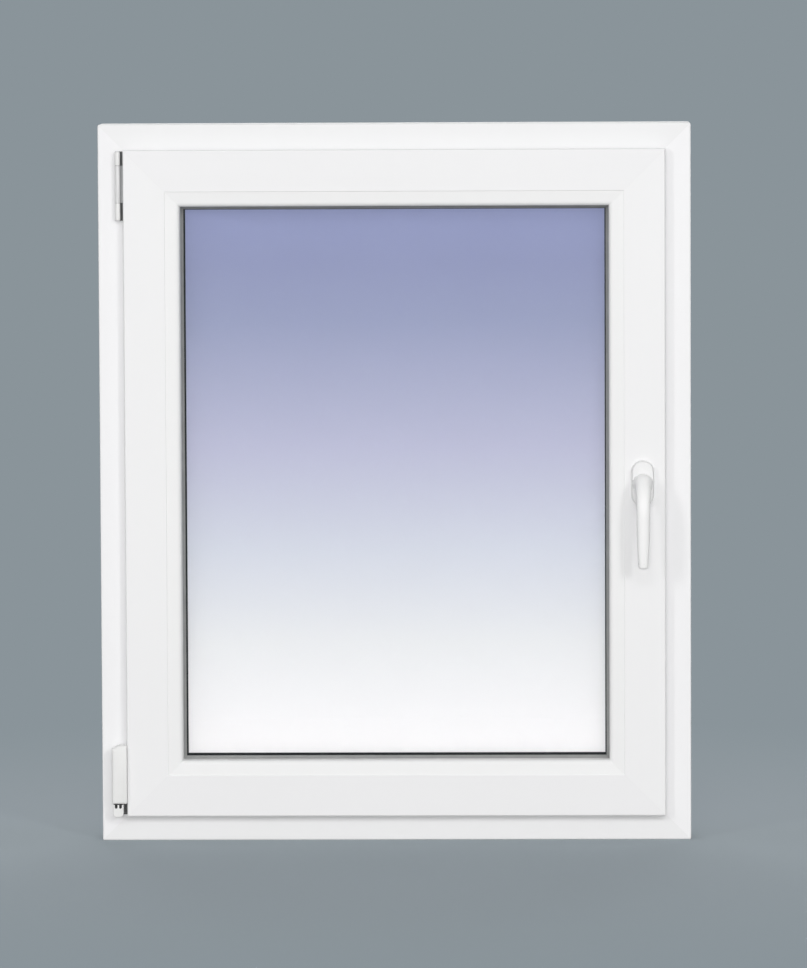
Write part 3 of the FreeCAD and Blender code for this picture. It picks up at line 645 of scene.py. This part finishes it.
@dataclass(frozen=True)
class FloatGlass(Finish):
    """Clear float glass with the faintest waviness."""

    wave_size: float = 0.25
    relief: float = 0.00002

    def surface(self, look: Look) -> None:
        """Clear, with a slow roller wave.

        Args:
            look: The material.
        """
        look.give("Transmission Weight", 1.0)
        look.give("IOR", GLASS_IOR)
        wave = look.cloud(look.place, self.wave_size, detail=0.0)
        look.give("Normal", look.bump(wave, self.relief))


@dataclass(frozen=True)
class PaintedSkyGlass(Finish):
    """The outer pane, with a painted sky reflection that fades from blue above to white below, and a
    painted glow.
    """

    stops: tuple[tuple[float, Colour], ...]
    foot: float = 0.1
    head: float = 0.9
    # How strongly the pane glows with its painted sky: painted light.
    glow: float = 0.48
    clear: float = 0.25
    margin: float = 0.119
    margin_blur: float = 0.0004
    margin_colour: Colour = (0.012, 0.012, 0.012)

    def surface(self, look: Look) -> None:
        """The painted sky reflection's colours by height, partly lit, partly glowing as painted light
        and partly seen through.

        Args:
            look: The material.
        """
        height = look.split(look.place)[2]
        ramp = look.add("ShaderNodeValToRGB")
        points = ramp.color_ramp.elements
        while len(points) < len(self.stops):
            points.new(0.5)
        for point, (share, colour) in zip(points, self.stops):
            point.position = share
            point.color = opaque(colour)
        look.feed(ramp.inputs[0], look.remap(height, (self.foot, self.head), way="LINEAR"))
        # Painted reflection: the sky's colours by height, near-black on the margin that the seals
        # cover.
        daylight = look.mix(self.opening(look), self.margin_colour, ramp.outputs["Color"])
        look.give("Base Color", daylight)
        # Painted glow: the pane gives off its painted sky colour, though it is no lamp.
        look.give("Emission Color", daylight)
        look.give("Emission Strength", self.glow)
        look.give("Transmission Weight", self.clear)
        look.give("IOR", GLASS_IOR)

    def opening(self, look: Look) -> Socket:
        """1 inside the daylight opening, 0 on the margin that the outer seal covers.

        Args:
            look: The material.

        Returns:
            The mask.
        """
        nearest = look.sum_up("MINIMUM", *look.inside(look.place, HALF_WIDTH, HEIGHT / 2))
        edge = (self.margin - self.margin_blur, self.margin + self.margin_blur)
        return look.remap(nearest, edge)


@dataclass(frozen=True)
class PlatedSteel(Finish):
    """Zinc-plated steel: rolled lines, crystal patches and ridges rubbed bright."""

    patch_size: float = 0.003
    patches: float = 0.2
    line_pitch: float = 0.0003
    line_run: float = 0.05
    gloss_spread: float = 0.1
    relief: float = 0.00002
    rubbed: float = 1.0
    bright: Colour = tone(190, 190, 192)

    def surface(self, look: Look) -> None:
        """Metal with patches, upright rolled lines and bright ridges.

        Args:
            look: The material.
        """
        look.give("Metallic", 1.0)
        patches = look.effect(GRAIN, Grain_Size=self.patch_size)["Grain"]
        lines = look.effect(
            LINES, Upright=Run.UPRIGHT.value, Pitch=self.line_pitch, Run=self.line_run
        )["Lines"]
        rubbed = look.sum_up("MULTIPLY", look.effect(WEAR)["Wear"], self.rubbed)
        colour = self.shade(look, patches, 1 - self.patches, 1 + self.patches)
        look.give("Base Color", look.mix(rubbed, colour, self.bright))
        self.vary_gloss(look, lines, self.gloss_spread)
        look.give("Normal", look.bump(lines, self.relief))


@dataclass(frozen=True)
class SpacerMetal(Finish):
    """Rolled spacer bar with its two rows of fine breather holes on the face to the gap."""

    pitch: float = 0.004
    hole: float = 0.0005
    hole_blur: float = 0.0002
    hole_depth: float = 0.0002
    hole_colour: Colour = tone(30, 30, 30)
    row_gap: float = 0.006
    middle: float = -0.011
    line_pitch: float = 0.0004
    line_run: float = 0.05
    tones: Span = (0.92, 1.08)
    gloss_spread: float = 0.08

    def surface(self, look: Look) -> None:
        """Metal with dark dots at an even pitch along the bar.

        Args:
            look: The material.
        """
        look.give("Metallic", 1.0)
        x, y, z = look.split(look.place)
        step = look.sum_up("PINGPONG", look.sum_up("ADD", x, z), self.pitch / 2)
        row = look.sum_up("ABSOLUTE", look.sum_up("SUBTRACT", y, self.middle))
        far = look.length(step, look.sum_up("SUBTRACT", row, self.row_gap / 2))
        hole = look.remap(far, (self.hole - self.hole_blur, self.hole), (1.0, 0.0))
        lines = look.effect(
            LINES, Upright=Run.LEVEL.value, Pitch=self.line_pitch, Run=self.line_run
        )["Lines"]
        colour = self.shade(look, lines, *self.tones)
        look.give("Base Color", look.mix(hole, colour, self.hole_colour))
        self.vary_gloss(look, lines, self.gloss_spread)
        look.give("Normal", look.bump(look.sum_up("SUBTRACT", 1.0, hole), self.hole_depth))


@dataclass(frozen=True)
class StudioFloor(Finish):
    """The floor: pale and matt near the window, one with the backdrop further off."""

    backdrop: Colour
    near: float = 0.4
    far: float = 1.5
    pale: Colour = (0.5, 0.5, 0.5)

    def surface(self, look: Look) -> None:
        """Fades from the lit floor to the backdrop's own colour, and throws light back as pale paper.

        Args:
            look: The material.
        """
        x, y, _ = look.split(look.place)
        share = look.remap(look.length(x, y), (self.near, self.far))
        rays = seen_rays(look)
        seen = look.mix(share, self.colour, BLACK)
        look.give("Base Color", look.mix(rays, self.pale, seen))
        glow = look.mix(look.sum_up("MULTIPLY", share, rays), BLACK, self.backdrop)
        look.give("Emission Color", glow)
        look.give("Emission Strength", 1.0)
        look.give("Specular IOR Level", 0.0)


def seen_rays(tree: Tree) -> Socket:
    """1 for rays that show the background: from the camera, off gloss and through glass.

    Args:
        tree: The tree.

    Returns:
        The mask.
    """
    path = tree.add("ShaderNodeLightPath")
    names = ("Is Camera Ray", "Is Glossy Ray", "Is Transmission Ray")
    first, second, third = (path.outputs[name] for name in names)
    return tree.sum_up("MAXIMUM", first, tree.sum_up("MAXIMUM", second, third))


# Colours of the painted sky reflection on the outer pane, from its foot (0) to its head (1).
PAINTED_SKY_MIDDLE = tone(193, 191, 211)
PAINTED_SKY_STOPS = (
    (0.0, tone(244, 240, 241)),
    (0.22, tone(229, 227, 229)),
    (0.38, tone(213, 213, 222)),
    (0.56, PAINTED_SKY_MIDDLE),
    (0.78, tone(162, 165, 193)),
    (0.88, tone(155, 158, 190)),
    (1.0, tone(157, 161, 197)),
)
BACKDROP = tone(138, 148, 154)
FLOOR = tone(171, 181, 187)

FRAME_WHITE = (0.89, 0.89, 0.893)
# The same plastic as FRAME_WHITE, painted a little lighter: painted light on the jambs.
JAMB_PAINTED_LIGHTER_WHITE = (0.93, 0.927, 0.935)
SASH_WHITE = (0.9, 0.897, 0.903)
# The same plastic as SASH_WHITE, painted a little lighter: painted light on the stiles.
STILE_PAINTED_LIGHTER_WHITE = (0.912, 0.91, 0.914)
BEAD_WHITE = (0.905, 0.905, 0.903)
CAP_WHITE = (0.86, 0.86, 0.85)
FRAME_LEVEL = ExtrudedPlastic("frame_plastic_level", FRAME_WHITE, 0.5, Run.LEVEL)
FRAME_UPRIGHT = ExtrudedPlastic("frame_plastic_upright", JAMB_PAINTED_LIGHTER_WHITE, 0.5, Run.UPRIGHT)
SASH_LEVEL = ExtrudedPlastic("sash_plastic_level", SASH_WHITE, 0.5, Run.LEVEL)
SASH_UPRIGHT = ExtrudedPlastic("sash_plastic_upright", STILE_PAINTED_LIGHTER_WHITE, 0.5, Run.UPRIGHT)
BEAD_LEVEL = ExtrudedPlastic("bead_plastic_level", BEAD_WHITE, 0.46, Run.LEVEL, groove=0.0003)
BEAD_UPRIGHT = ExtrudedPlastic("bead_plastic_upright", BEAD_WHITE, 0.46, Run.UPRIGHT, groove=0.0003)
CAP = MouldedSkin("cap_plastic", CAP_WHITE, 0.38)
STAY_CAP = MouldedSkin("stay_cap_plastic", (0.78, 0.78, 0.78), 0.38)
# The bearing's cap plastic, with painted shade in its notches and on its seat.
BEARING = NotchedPlastic("bearing_plastic", CAP_WHITE, 0.38)
PACKER = MouldedSkin("packer_plastic", (0.3, 0.45, 0.6), 0.5)
# The lever is painted a lighter white than the rosette, which wears the same coat: painted light on the
# lever.
LEVER_COAT = PowderCoat("lever_coat", (0.95, 0.95, 0.945), 0.42)
ROSETTE_COAT = PowderCoat("rosette_coat", (0.88, 0.88, 0.878), 0.5)
LIP_SEAL = SealRubber("lip_seal_rubber", (0.3, 0.31, 0.32), 0.6)
ROOM_SEAL = SealRubber("room_glass_seal_rubber", (0.36, 0.365, 0.36), 0.5, tones=(0.85, 1.15))
OUTER_SEAL = SealRubber("outer_glass_seal_rubber", (0.02, 0.02, 0.02), 0.6, tones=(0.85, 1.3))
SEALANT = SealRubber("edge_sealant", (0.04, 0.04, 0.04), 0.7, tones=(0.85, 1.2))
CLEAR = FloatGlass("clear_float_glass", (0.96, 0.98, 0.97), 0.0)
# The outer pane: painted sky reflection and painted glow.
PAINTED_SKY_GLASS = PaintedSkyGlass("painted_sky_reflection_glass", PAINTED_SKY_MIDDLE, 0.03, PAINTED_SKY_STOPS)
STEEL = PlatedSteel("plated_steel", (0.42, 0.43, 0.44), 0.4)
# Steel painted dark where it lies in the hinges' gaps: painted shade.
SHADED_STEEL = PlatedSteel("shaded_plated_steel", (0.12, 0.12, 0.12), 0.6, patches=0.03, rubbed=0.0)
STAY_STEEL = PlatedSteel("stay_plated_steel", (0.4, 0.4, 0.4), 0.6, patches=0.03, rubbed=0.0)
SPACER = SpacerMetal("spacer_metal", (0.6, 0.61, 0.62), 0.4)


# Pieces


def dress(finish: Finish, *nodes: str) -> None:
    """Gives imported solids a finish.

    Args:
        finish: The finish.
        nodes: The solids' names.
    """
    for name in nodes:
        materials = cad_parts[name].data.materials
        materials.clear()
        materials.append(finish.material())
        LOG.info("%s: %s", name, finish.name)


def skin(name: str, rings: Sequence[Ring]) -> bpy.types.Object:
    """A closed smooth skin over rings of equally many points, with its sharp edges kept.

    Args:
        name: The piece's name.
        rings: The rings from one end to the other, each in the same order.

    Returns:
        The mesh object.
    """
    count = len(rings[0])
    points = [point for ring in rings for point in ring]
    faces = []
    for step in range(len(rings) - 1):
        for i in range(count):
            after = (i + 1) % count
            low, high = step * count, (step + 1) * count
            faces.append((low + i, low + after, high + after, high + i))
    faces.append(tuple(reversed(range(count))))
    faces.append(tuple(range((len(rings) - 1) * count, len(rings) * count)))
    mesh = bpy.data.meshes.new(name)
    mesh.from_pydata(points, [], faces)
    work = bmesh.new()
    work.from_mesh(mesh)
    bmesh.ops.recalc_face_normals(work, faces=work.faces)
    work.to_mesh(mesh)
    work.free()
    mesh.shade_smooth()
    mesh.set_sharp_from_angle(angle=SHARP_ANGLE)
    thing = bpy.data.objects.new(name, mesh)
    bpy.context.scene.collection.objects.link(thing)
    return thing


def seat(piece: bpy.types.Object, body: str, slot: str, finish: Finish, *nodes: str) -> None:
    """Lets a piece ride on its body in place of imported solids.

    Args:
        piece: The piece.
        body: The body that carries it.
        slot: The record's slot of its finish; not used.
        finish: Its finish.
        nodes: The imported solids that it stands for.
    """
    piece.data.materials.clear()
    piece.data.materials.append(finish.material())
    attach(piece, body)
    if nodes:
        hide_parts(*nodes)
    LOG.info("%s rides on %s", piece.name, body)


def eased(
    corners: Sequence[Vector], reach: float, most: float = 0.45, steps: int = 5
) -> list[Vector]:
    """A flat outline with rounded corners.

    Args:
        corners: Its corners in order.
        reach: How far from each corner the rounding starts.
        most: The largest share of a side that one rounding takes.
        steps: Sides of each rounding.

    Returns:
        The outline's points.
    """
    points = []
    for i, corner in enumerate(corners):
        ends = []
        for other in (corners[i - 1], corners[(i + 1) % len(corners)]):
            way = other - corner
            ends.append(corner + way.normalized() * min(reach, way.length * most))
        for step in range(steps + 1):
            share = step / steps
            points.append(ends[0].lerp(corner, share).lerp(corner.lerp(ends[1], share), share))
    return points


def quarter(steps: int) -> Iterable[float]:
    """Angles of a quarter turn in radians, both ends included."""
    return (math.pi / 2 * step / steps for step in range(steps + 1))


@dataclass
class ProfileFrames:
    """The outer frame, the sash and the glazing beads: mitred white profiles with drain caps."""

    def build(self) -> None:
        """Dresses every bar by the way it runs, the uprights in whites painted a little lighter as
        painted light, and the caps.
        """
        dress(FRAME_LEVEL, "frame_head", "frame_sill")
        dress(FRAME_UPRIGHT, "frame_jamb_left", "frame_jamb_right")
        dress(SASH_LEVEL, "sash_top_rail", "sash_bottom_rail")
        dress(SASH_UPRIGHT, "sash_hinge_stile", "sash_handle_stile")
        dress(BEAD_LEVEL, "glazing_bead_top", "glazing_bead_bottom")
        dress(BEAD_UPRIGHT, "glazing_bead_left", "glazing_bead_right")
        dress(CAP, "drain_cap_left", "drain_cap_right")


@dataclass
class Seals:
    """The four rubber seals."""

    def build(self) -> None:
        """Dresses the seals."""
        dress(LIP_SEAL, "sash_lip_gasket", "frame_stop_gasket")
        dress(ROOM_SEAL, "inner_glazing_gasket")
        dress(OUTER_SEAL, "outer_glazing_gasket")


@dataclass
class InsulatedGlass:
    """Two panes with a spacer bar and sealant between them, on packers."""

    def build(self) -> None:
        """Dresses the panes, the spacer bar, the sealant and the packers."""
        dress(CLEAR, "inner_glass_pane")
        dress(PAINTED_SKY_GLASS, "outer_glass_pane")
        dress(SPACER, "glass_spacer_bar")
        dress(SEALANT, "glass_edge_seal")
        dress(PACKER, "glazing_packers")


@dataclass
class TurningHandle:
    """The cast lever, its drafted rosette, and the steel that they turn and hold."""

    grip_width: float = 18.6 * MM
    grip_thickness: float = 14.5 * MM
    tip_width: float = 13.2 * MM
    tip_thickness: float = 10.5 * MM
    tip_round: float = 3.5 * MM
    hub_rise: float = 5 * MM
    hub_edge: float = 1.2 * MM
    elbow_reach: float = 31 * MM
    elbow_drop: float = 44 * MM
    waist: float = 0.93
    taper_power: float = 2.2
    neck_radius: float = 8 * MM
    rosette_draft: float = math.radians(9)
    rosette_round: float = 1.3 * MM
    squareness: float = 2.35
    points: int = 64
    hub_steps: int = 5
    elbow_steps: int = 30
    grip_steps: int = 16
    tip_steps: int = 8
    rim_steps: int = 6
    axis: Vector = field(init=False)
    plate: tuple[Vector, Vector] = field(init=False)
    lever: tuple[Vector, Vector] = field(init=False)

    def __post_init__(self) -> None:
        """Reads where the rosette and the lever are."""
        self.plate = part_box("handle_rosette")
        self.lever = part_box("handle_lever")
        low, high = self.plate
        self.axis = Vector(((low.x + high.x) / 2, high.y, (low.z + high.z) / 2))

    def build(self) -> None:
        """Builds the lever and the rosette, and dresses the steel."""
        seat(self.make_lever(), "handle", "white_lacquer", LEVER_COAT, "handle_lever")
        seat(self.make_rosette(), "root", "white_lacquer", ROSETTE_COAT, "handle_rosette")
        dress(STEEL, "handle_screws", "handle_spindle")

    def oval(
        self, out: float, drop: float, tilt: float, across: float, thick: float, square: float
    ) -> Ring:
        """One ring of the lever, square to its middle line.

        Args:
            out: How far it stands off the sash.
            drop: How far it lies below the axis.
            tilt: How far the middle line has turned down, in radians.
            across: Half the width.
            thick: Half the thickness.
            square: 2 for an ellipse, more for fuller sides.

        Returns:
            The ring's points.
        """
        ring = []
        for i in range(self.points):
            angle = math.tau * i / self.points
            right, up = math.cos(angle), math.sin(angle)
            x = across * math.copysign(abs(right) ** (2 / square), right)
            rise = thick * math.copysign(abs(up) ** (2 / square), up)
            y = self.axis.y - out - rise * math.sin(tilt)
            z = self.axis.z - drop + rise * math.cos(tilt)
            ring.append(Vector((self.axis.x + x, y, z)))
        return ring

    def make_lever(self) -> bpy.types.Object:
        """The lever from its neck in the rosette, round the elbow and down to the tip.

        Returns:
            The lever.
        """
        low, high = self.lever
        hub = (high.x - low.x) / 2
        neck_end = self.axis.y - high.y
        start = self.plate[1].y - self.plate[0].y + neck_end
        rings = [self.oval(neck_end, 0, 0, self.neck_radius, self.neck_radius, 2)]
        rings.append(self.oval(start, 0, 0, self.neck_radius, self.neck_radius, 2))
        for angle in quarter(self.hub_steps):
            radius = hub - self.hub_edge * (1 - math.sin(angle))
            out = start + self.hub_edge * (1 - math.cos(angle))
            rings.append(self.oval(out, 0, 0, radius, radius, 2))
        bend = start + self.hub_rise
        for angle in quarter(self.elbow_steps):
            flare = 1 - math.sin(angle)
            across = self.grip_width / 2 + (hub * self.waist - self.grip_width / 2) * flare
            thick = self.grip_thickness / 2 + (hub * self.waist - self.grip_thickness / 2) * flare
            out = bend + self.elbow_reach * math.sin(angle)
            drop = self.elbow_drop * (1 - math.cos(angle))
            tilt = math.atan2(self.elbow_drop * math.sin(angle), self.elbow_reach * math.cos(angle))
            square = 2 + (self.squareness - 2) * smooth(math.sin(angle))
            rings.append(self.oval(out, drop, tilt, across, thick, square))
        stand = bend + self.elbow_reach
        straight = self.axis.z - low.z - self.elbow_drop - self.tip_round
        for step in range(self.grip_steps):
            share = (step + 1) / self.grip_steps
            taper = share**self.taper_power
            across = (self.grip_width + (self.tip_width - self.grip_width) * taper) / 2
            thick = (self.grip_thickness + (self.tip_thickness - self.grip_thickness) * taper) / 2
            drop = self.elbow_drop + straight * share
            rings.append(self.oval(stand, drop, math.pi / 2, across, thick, self.squareness))
        for angle in quarter(self.tip_steps):
            inset = self.tip_round * (1 - math.cos(angle))
            drop = self.elbow_drop + straight + self.tip_round * math.sin(angle)
            across = self.tip_width / 2 - inset
            thick = self.tip_thickness / 2 - inset
            rings.append(self.oval(stand, drop, math.pi / 2, across, thick, self.squareness))
        return skin("handle_lever_cast", rings)

    def oblong(self, inset: float, out: float) -> Ring:
        """An upright oblong with half-round ends, inside the rosette's outline.

        Args:
            inset: How far inside the outline it lies.
            out: How far it stands off the sash.

        Returns:
            The ring's points.
        """
        low, high = self.plate
        radius = (high.x - low.x) / 2
        rise = (high.z - low.z) / 2 - radius
        ring = []
        for i in range(self.points):
            angle = math.tau * (i + 0.5) / self.points
            lift = math.copysign(rise, math.sin(angle))
            x = self.axis.x + (radius - inset) * math.cos(angle)
            z = self.axis.z + lift + (radius - inset) * math.sin(angle)
            ring.append(Vector((x, self.axis.y - out, z)))
        return ring

    def make_rosette(self) -> bpy.types.Object:
        """The rosette: drafted sides and a rounded rim under the lever's hub.

        Returns:
            The rosette.
        """
        thick = self.plate[1].y - self.plate[0].y
        slope = math.tan(self.rosette_draft)
        rings = [self.oblong(0.0, 0.0)]
        side = thick - self.rosette_round
        rings.append(self.oblong(side * slope, side))
        for angle in quarter(self.rim_steps):
            inset = side * slope + self.rosette_round * (1 - math.cos(angle))
            rings.append(self.oblong(inset, side + self.rosette_round * math.sin(angle)))
        return skin("handle_rosette_shell", rings)


@dataclass
class BarrelHinge:
    """The upper hinge: three white barrel caps on a pin, with their steel plates."""

    cap_round: float = 2.2 * MM
    joint_edge: float = 0.35 * MM
    cap_sides: int = 48
    edge_steps: int = 6

    def build(self) -> None:
        """Builds the caps and dresses the steel."""
        for node, finish, round_low, round_high in (
            ("upper_hinge_top_cap", CAP, False, True),
            ("upper_hinge_stay_cap", STAY_CAP, False, False),
            ("upper_hinge_bottom_cap", CAP, True, False),
        ):
            seat(self.make_cap(node, round_low, round_high), "root", "white_cap", finish, node)
        dress(SHADED_STEEL, "upper_hinge_bracket")
        dress(STAY_STEEL, "upper_hinge_stay_arm")
        dress(STEEL, "upper_hinge_pin")

    def make_cap(self, node: str, round_low: bool, round_high: bool) -> bpy.types.Object:
        """One barrel cap, domed at the hinge's end and broken at its joint.

        Args:
            node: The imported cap.
            round_low: Whether its lower end is domed.
            round_high: Whether its upper end is domed.

        Returns:
            The cap.
        """
        low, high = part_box(node)
        foot = self.cap_round if round_low else self.joint_edge
        crown = self.cap_round if round_high else self.joint_edge
        profile = []
        for angle in quarter(self.edge_steps):
            profile.append((foot * (1 - math.sin(angle)), low.z + foot * (1 - math.cos(angle))))
        for angle in quarter(self.edge_steps):
            profile.append((crown * (1 - math.cos(angle)), high.z - crown * (1 - math.sin(angle))))
        middle = (low + high) / 2
        turns = [math.tau * i / self.cap_sides for i in range(self.cap_sides)]
        rings = []
        for inset, height in profile:
            radius = (high.x - low.x) / 2 - inset
            flat = [(radius * math.cos(turn), radius * math.sin(turn)) for turn in turns]
            rings.append([Vector((middle.x + x, middle.y + y, height)) for x, y in flat])
        return skin(f"{node}_barrel", rings)


@dataclass
class CornerHinge:
    """The lower hinge: the sash leaf's cover, the notched bearing and their steel."""

    sash_gap: float = 0.1 * MM
    bevel_width: float = 9 * MM
    bevel_drop: float = 5 * MM
    corner_round: float = 1.2 * MM
    front_round: float = 3 * MM
    front_steps: int = 6
    sash_side_round: float = 0.3 * MM

    def build(self) -> None:
        """Builds the cover, and dresses the bearing and the steel."""
        seat(self.make_cover(), "root", "white_cap", CAP, "lower_hinge_cover")
        dress(BEARING, "lower_hinge_bearing")
        dress(SHADED_STEEL, "lower_hinge_frame_plate", "lower_hinge_sash_leaf", "lower_hinge_pivot")

    def make_cover(self) -> bpy.types.Object:
        """The cover: bevelled above, rounded in front, flat towards the sash.

        Returns:
            The cover.
        """
        low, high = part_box("lower_hinge_cover")
        sash_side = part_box("sash_hinge_stile")[0].x - self.sash_gap
        levels = [(1 - math.sin(angle), 1 - math.cos(angle)) for angle in quarter(self.front_steps)]
        depths = [(curl, low.y + self.front_round * back) for curl, back in levels]
        rings = []
        for curl, depth in (*depths, (0.0, high.y)):
            inset = self.front_round * curl
            left, right = low.x + inset, sash_side - self.sash_side_round * curl
            foot, top = low.z + inset, high.z - inset
            corners = [
                Vector((left, foot)),
                Vector((right, foot)),
                Vector((right, top)),
                Vector((left + self.bevel_width, top)),
                Vector((left, top - self.bevel_drop)),
            ]
            outline = eased(corners, self.corner_round)
            rings.append([Vector((point.x, depth, point.y)) for point in outline])
        return skin("lower_hinge_cover_shell", rings)


# Studio


@dataclass(frozen=True)
class Lamp:
    """A soft light that points at the window."""

    name: str
    azimuth: float
    elevation: float
    distance: float
    width: float
    height: float
    power: float

    def hang(self, target: Vector) -> None:
        """Makes the light.

        Args:
            target: What it points at.
        """
        data = bpy.data.lights.new(self.name, "AREA")
        data.shape = "RECTANGLE"
        data.size = self.width
        data.size_y = self.height
        data.energy = self.power
        thing = bpy.data.objects.new(self.name, data)
        thing.matrix_world = facing(target, self.azimuth, self.elevation, self.distance)
        bpy.context.scene.collection.objects.link(thing)


def facing(
    target: Vector, azimuth: float, elevation: float, distance: float, roll: float = 0.0
) -> Matrix:
    """Where something stands that looks at a target along -Z with Y up.

    Args:
        target: What it looks at.
        azimuth: Its angle round the target: 0 degrees is the room's side, 90 is +X.
        elevation: Its angle above the level, in degrees.
        distance: How far off it stands.
        roll: How far it is turned clockwise about its view, in degrees.

    Returns:
        Its placement.
    """
    around, rise, turn = (math.radians(angle) for angle in (azimuth, elevation, roll))
    out = math.cos(rise)
    away = Vector((math.sin(around) * out, -math.cos(around) * out, math.sin(rise)))
    right = Vector((0, 0, 1)).cross(away).normalized()
    up = away.cross(right).normalized()
    level = right * math.cos(turn) - up * math.sin(turn)
    upright = up * math.cos(turn) + right * math.sin(turn)
    matrix = Matrix((level, upright, away)).transposed().to_4x4()
    matrix.translation = target + away * distance
    return matrix


@dataclass
class Studio:
    """Floor, world, lamps and camera."""

    picture_height: int = 968
    azimuth: float = 1.2
    elevation: float = 4.5
    distance: float = 9.0
    roll: float = 0.253
    lens: float = 241.2
    sensor: float = 36.0
    shift_right: float = 8.2
    shift_up: float = -0.74
    clip_end: float = 100.0
    floor_size: float = 60.0
    ambient: float = 0.4
    lamps: tuple[Lamp, ...] = (
        Lamp("overhead_softbox", 0, 29, 20.0, 12.0, 2.7, 600),
        Lamp("front_softbox", 0, 5, 14.0, 3.5, 1.0, 380),
        Lamp("left_softbox", -34.8, 16.4, 10.0, 1.1, 2.3, 133),
        Lamp("right_softbox", 26.9, 16.4, 10.0, 1.1, 2.2, 158),
        Lamp("outside_fill", 180, 30, 4.0, 3.0, 2.0, 45),
    )

    def build(self) -> None:
        """Sets the stage."""
        low, high = CAD_BOX
        target = Vector((0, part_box("frame_sill")[0].y, (low[2] + high[2]) / 2))
        self.lay_floor()
        self.light_world()
        for lamp in self.lamps:
            lamp.hang(target)
        self.set_camera(target)
        bpy.context.scene.view_settings.view_transform = "Standard"

    def lay_floor(self) -> None:
        """A flat floor that runs on into the backdrop's colour."""
        half = self.floor_size / 2
        corners = [(-half, -half, 0), (half, -half, 0), (half, half, 0), (-half, half, 0)]
        mesh = bpy.data.meshes.new("studio_floor")
        mesh.from_pydata(corners, [], [(0, 1, 2, 3)])
        floor = bpy.data.objects.new("studio_floor", mesh)
        bpy.context.scene.collection.objects.link(floor)
        mesh.materials.append(StudioFloor("floor_paper", FLOOR, 0.9, BACKDROP).material())

    def light_world(self) -> None:
        """Even light from all round, in front of which the backdrop's colour shows."""
        world = bpy.data.worlds.new("studio")
        bpy.context.scene.world = world
        world.use_nodes = True
        world.node_tree.nodes.clear()
        tree = Tree(world.node_tree)
        share = seen_rays(tree)
        white = (self.ambient, self.ambient, self.ambient)
        ground = tree.add("ShaderNodeBackground")
        tree.feed(ground.inputs["Color"], tree.mix(share, white, BACKDROP))
        out = tree.add("ShaderNodeOutputWorld")
        tree.feed(out.inputs["Surface"], ground.outputs[0])

    def set_camera(self, target: Vector) -> None:
        """Puts the camera where the photograph was taken from.

        Args:
            target: What it points at.
        """
        data = bpy.data.cameras.new("camera")
        data.sensor_fit = "VERTICAL"
        data.sensor_height = self.sensor
        data.lens = self.lens
        data.shift_x = self.shift_right / self.picture_height
        data.shift_y = self.shift_up / self.picture_height
        data.clip_end = self.clip_end
        thing = bpy.data.objects.new("camera", data)
        view = (self.azimuth, self.elevation, self.distance, self.roll)
        thing.matrix_world = facing(target, *view)
        bpy.context.scene.collection.objects.link(thing)
        bpy.context.scene.camera = thing


def main() -> None:
    """Builds each sub-assembly and the studio."""
    logging.basicConfig(level=logging.INFO, format="%(name)s: %(message)s")
    for kind in (ProfileFrames, Seals, InsulatedGlass, TurningHandle, BarrelHinge, CornerHinge, Studio):
        LOG.info("building %s", kind.__name__)
        kind().build()


if __name__ == "__main__":
    main()
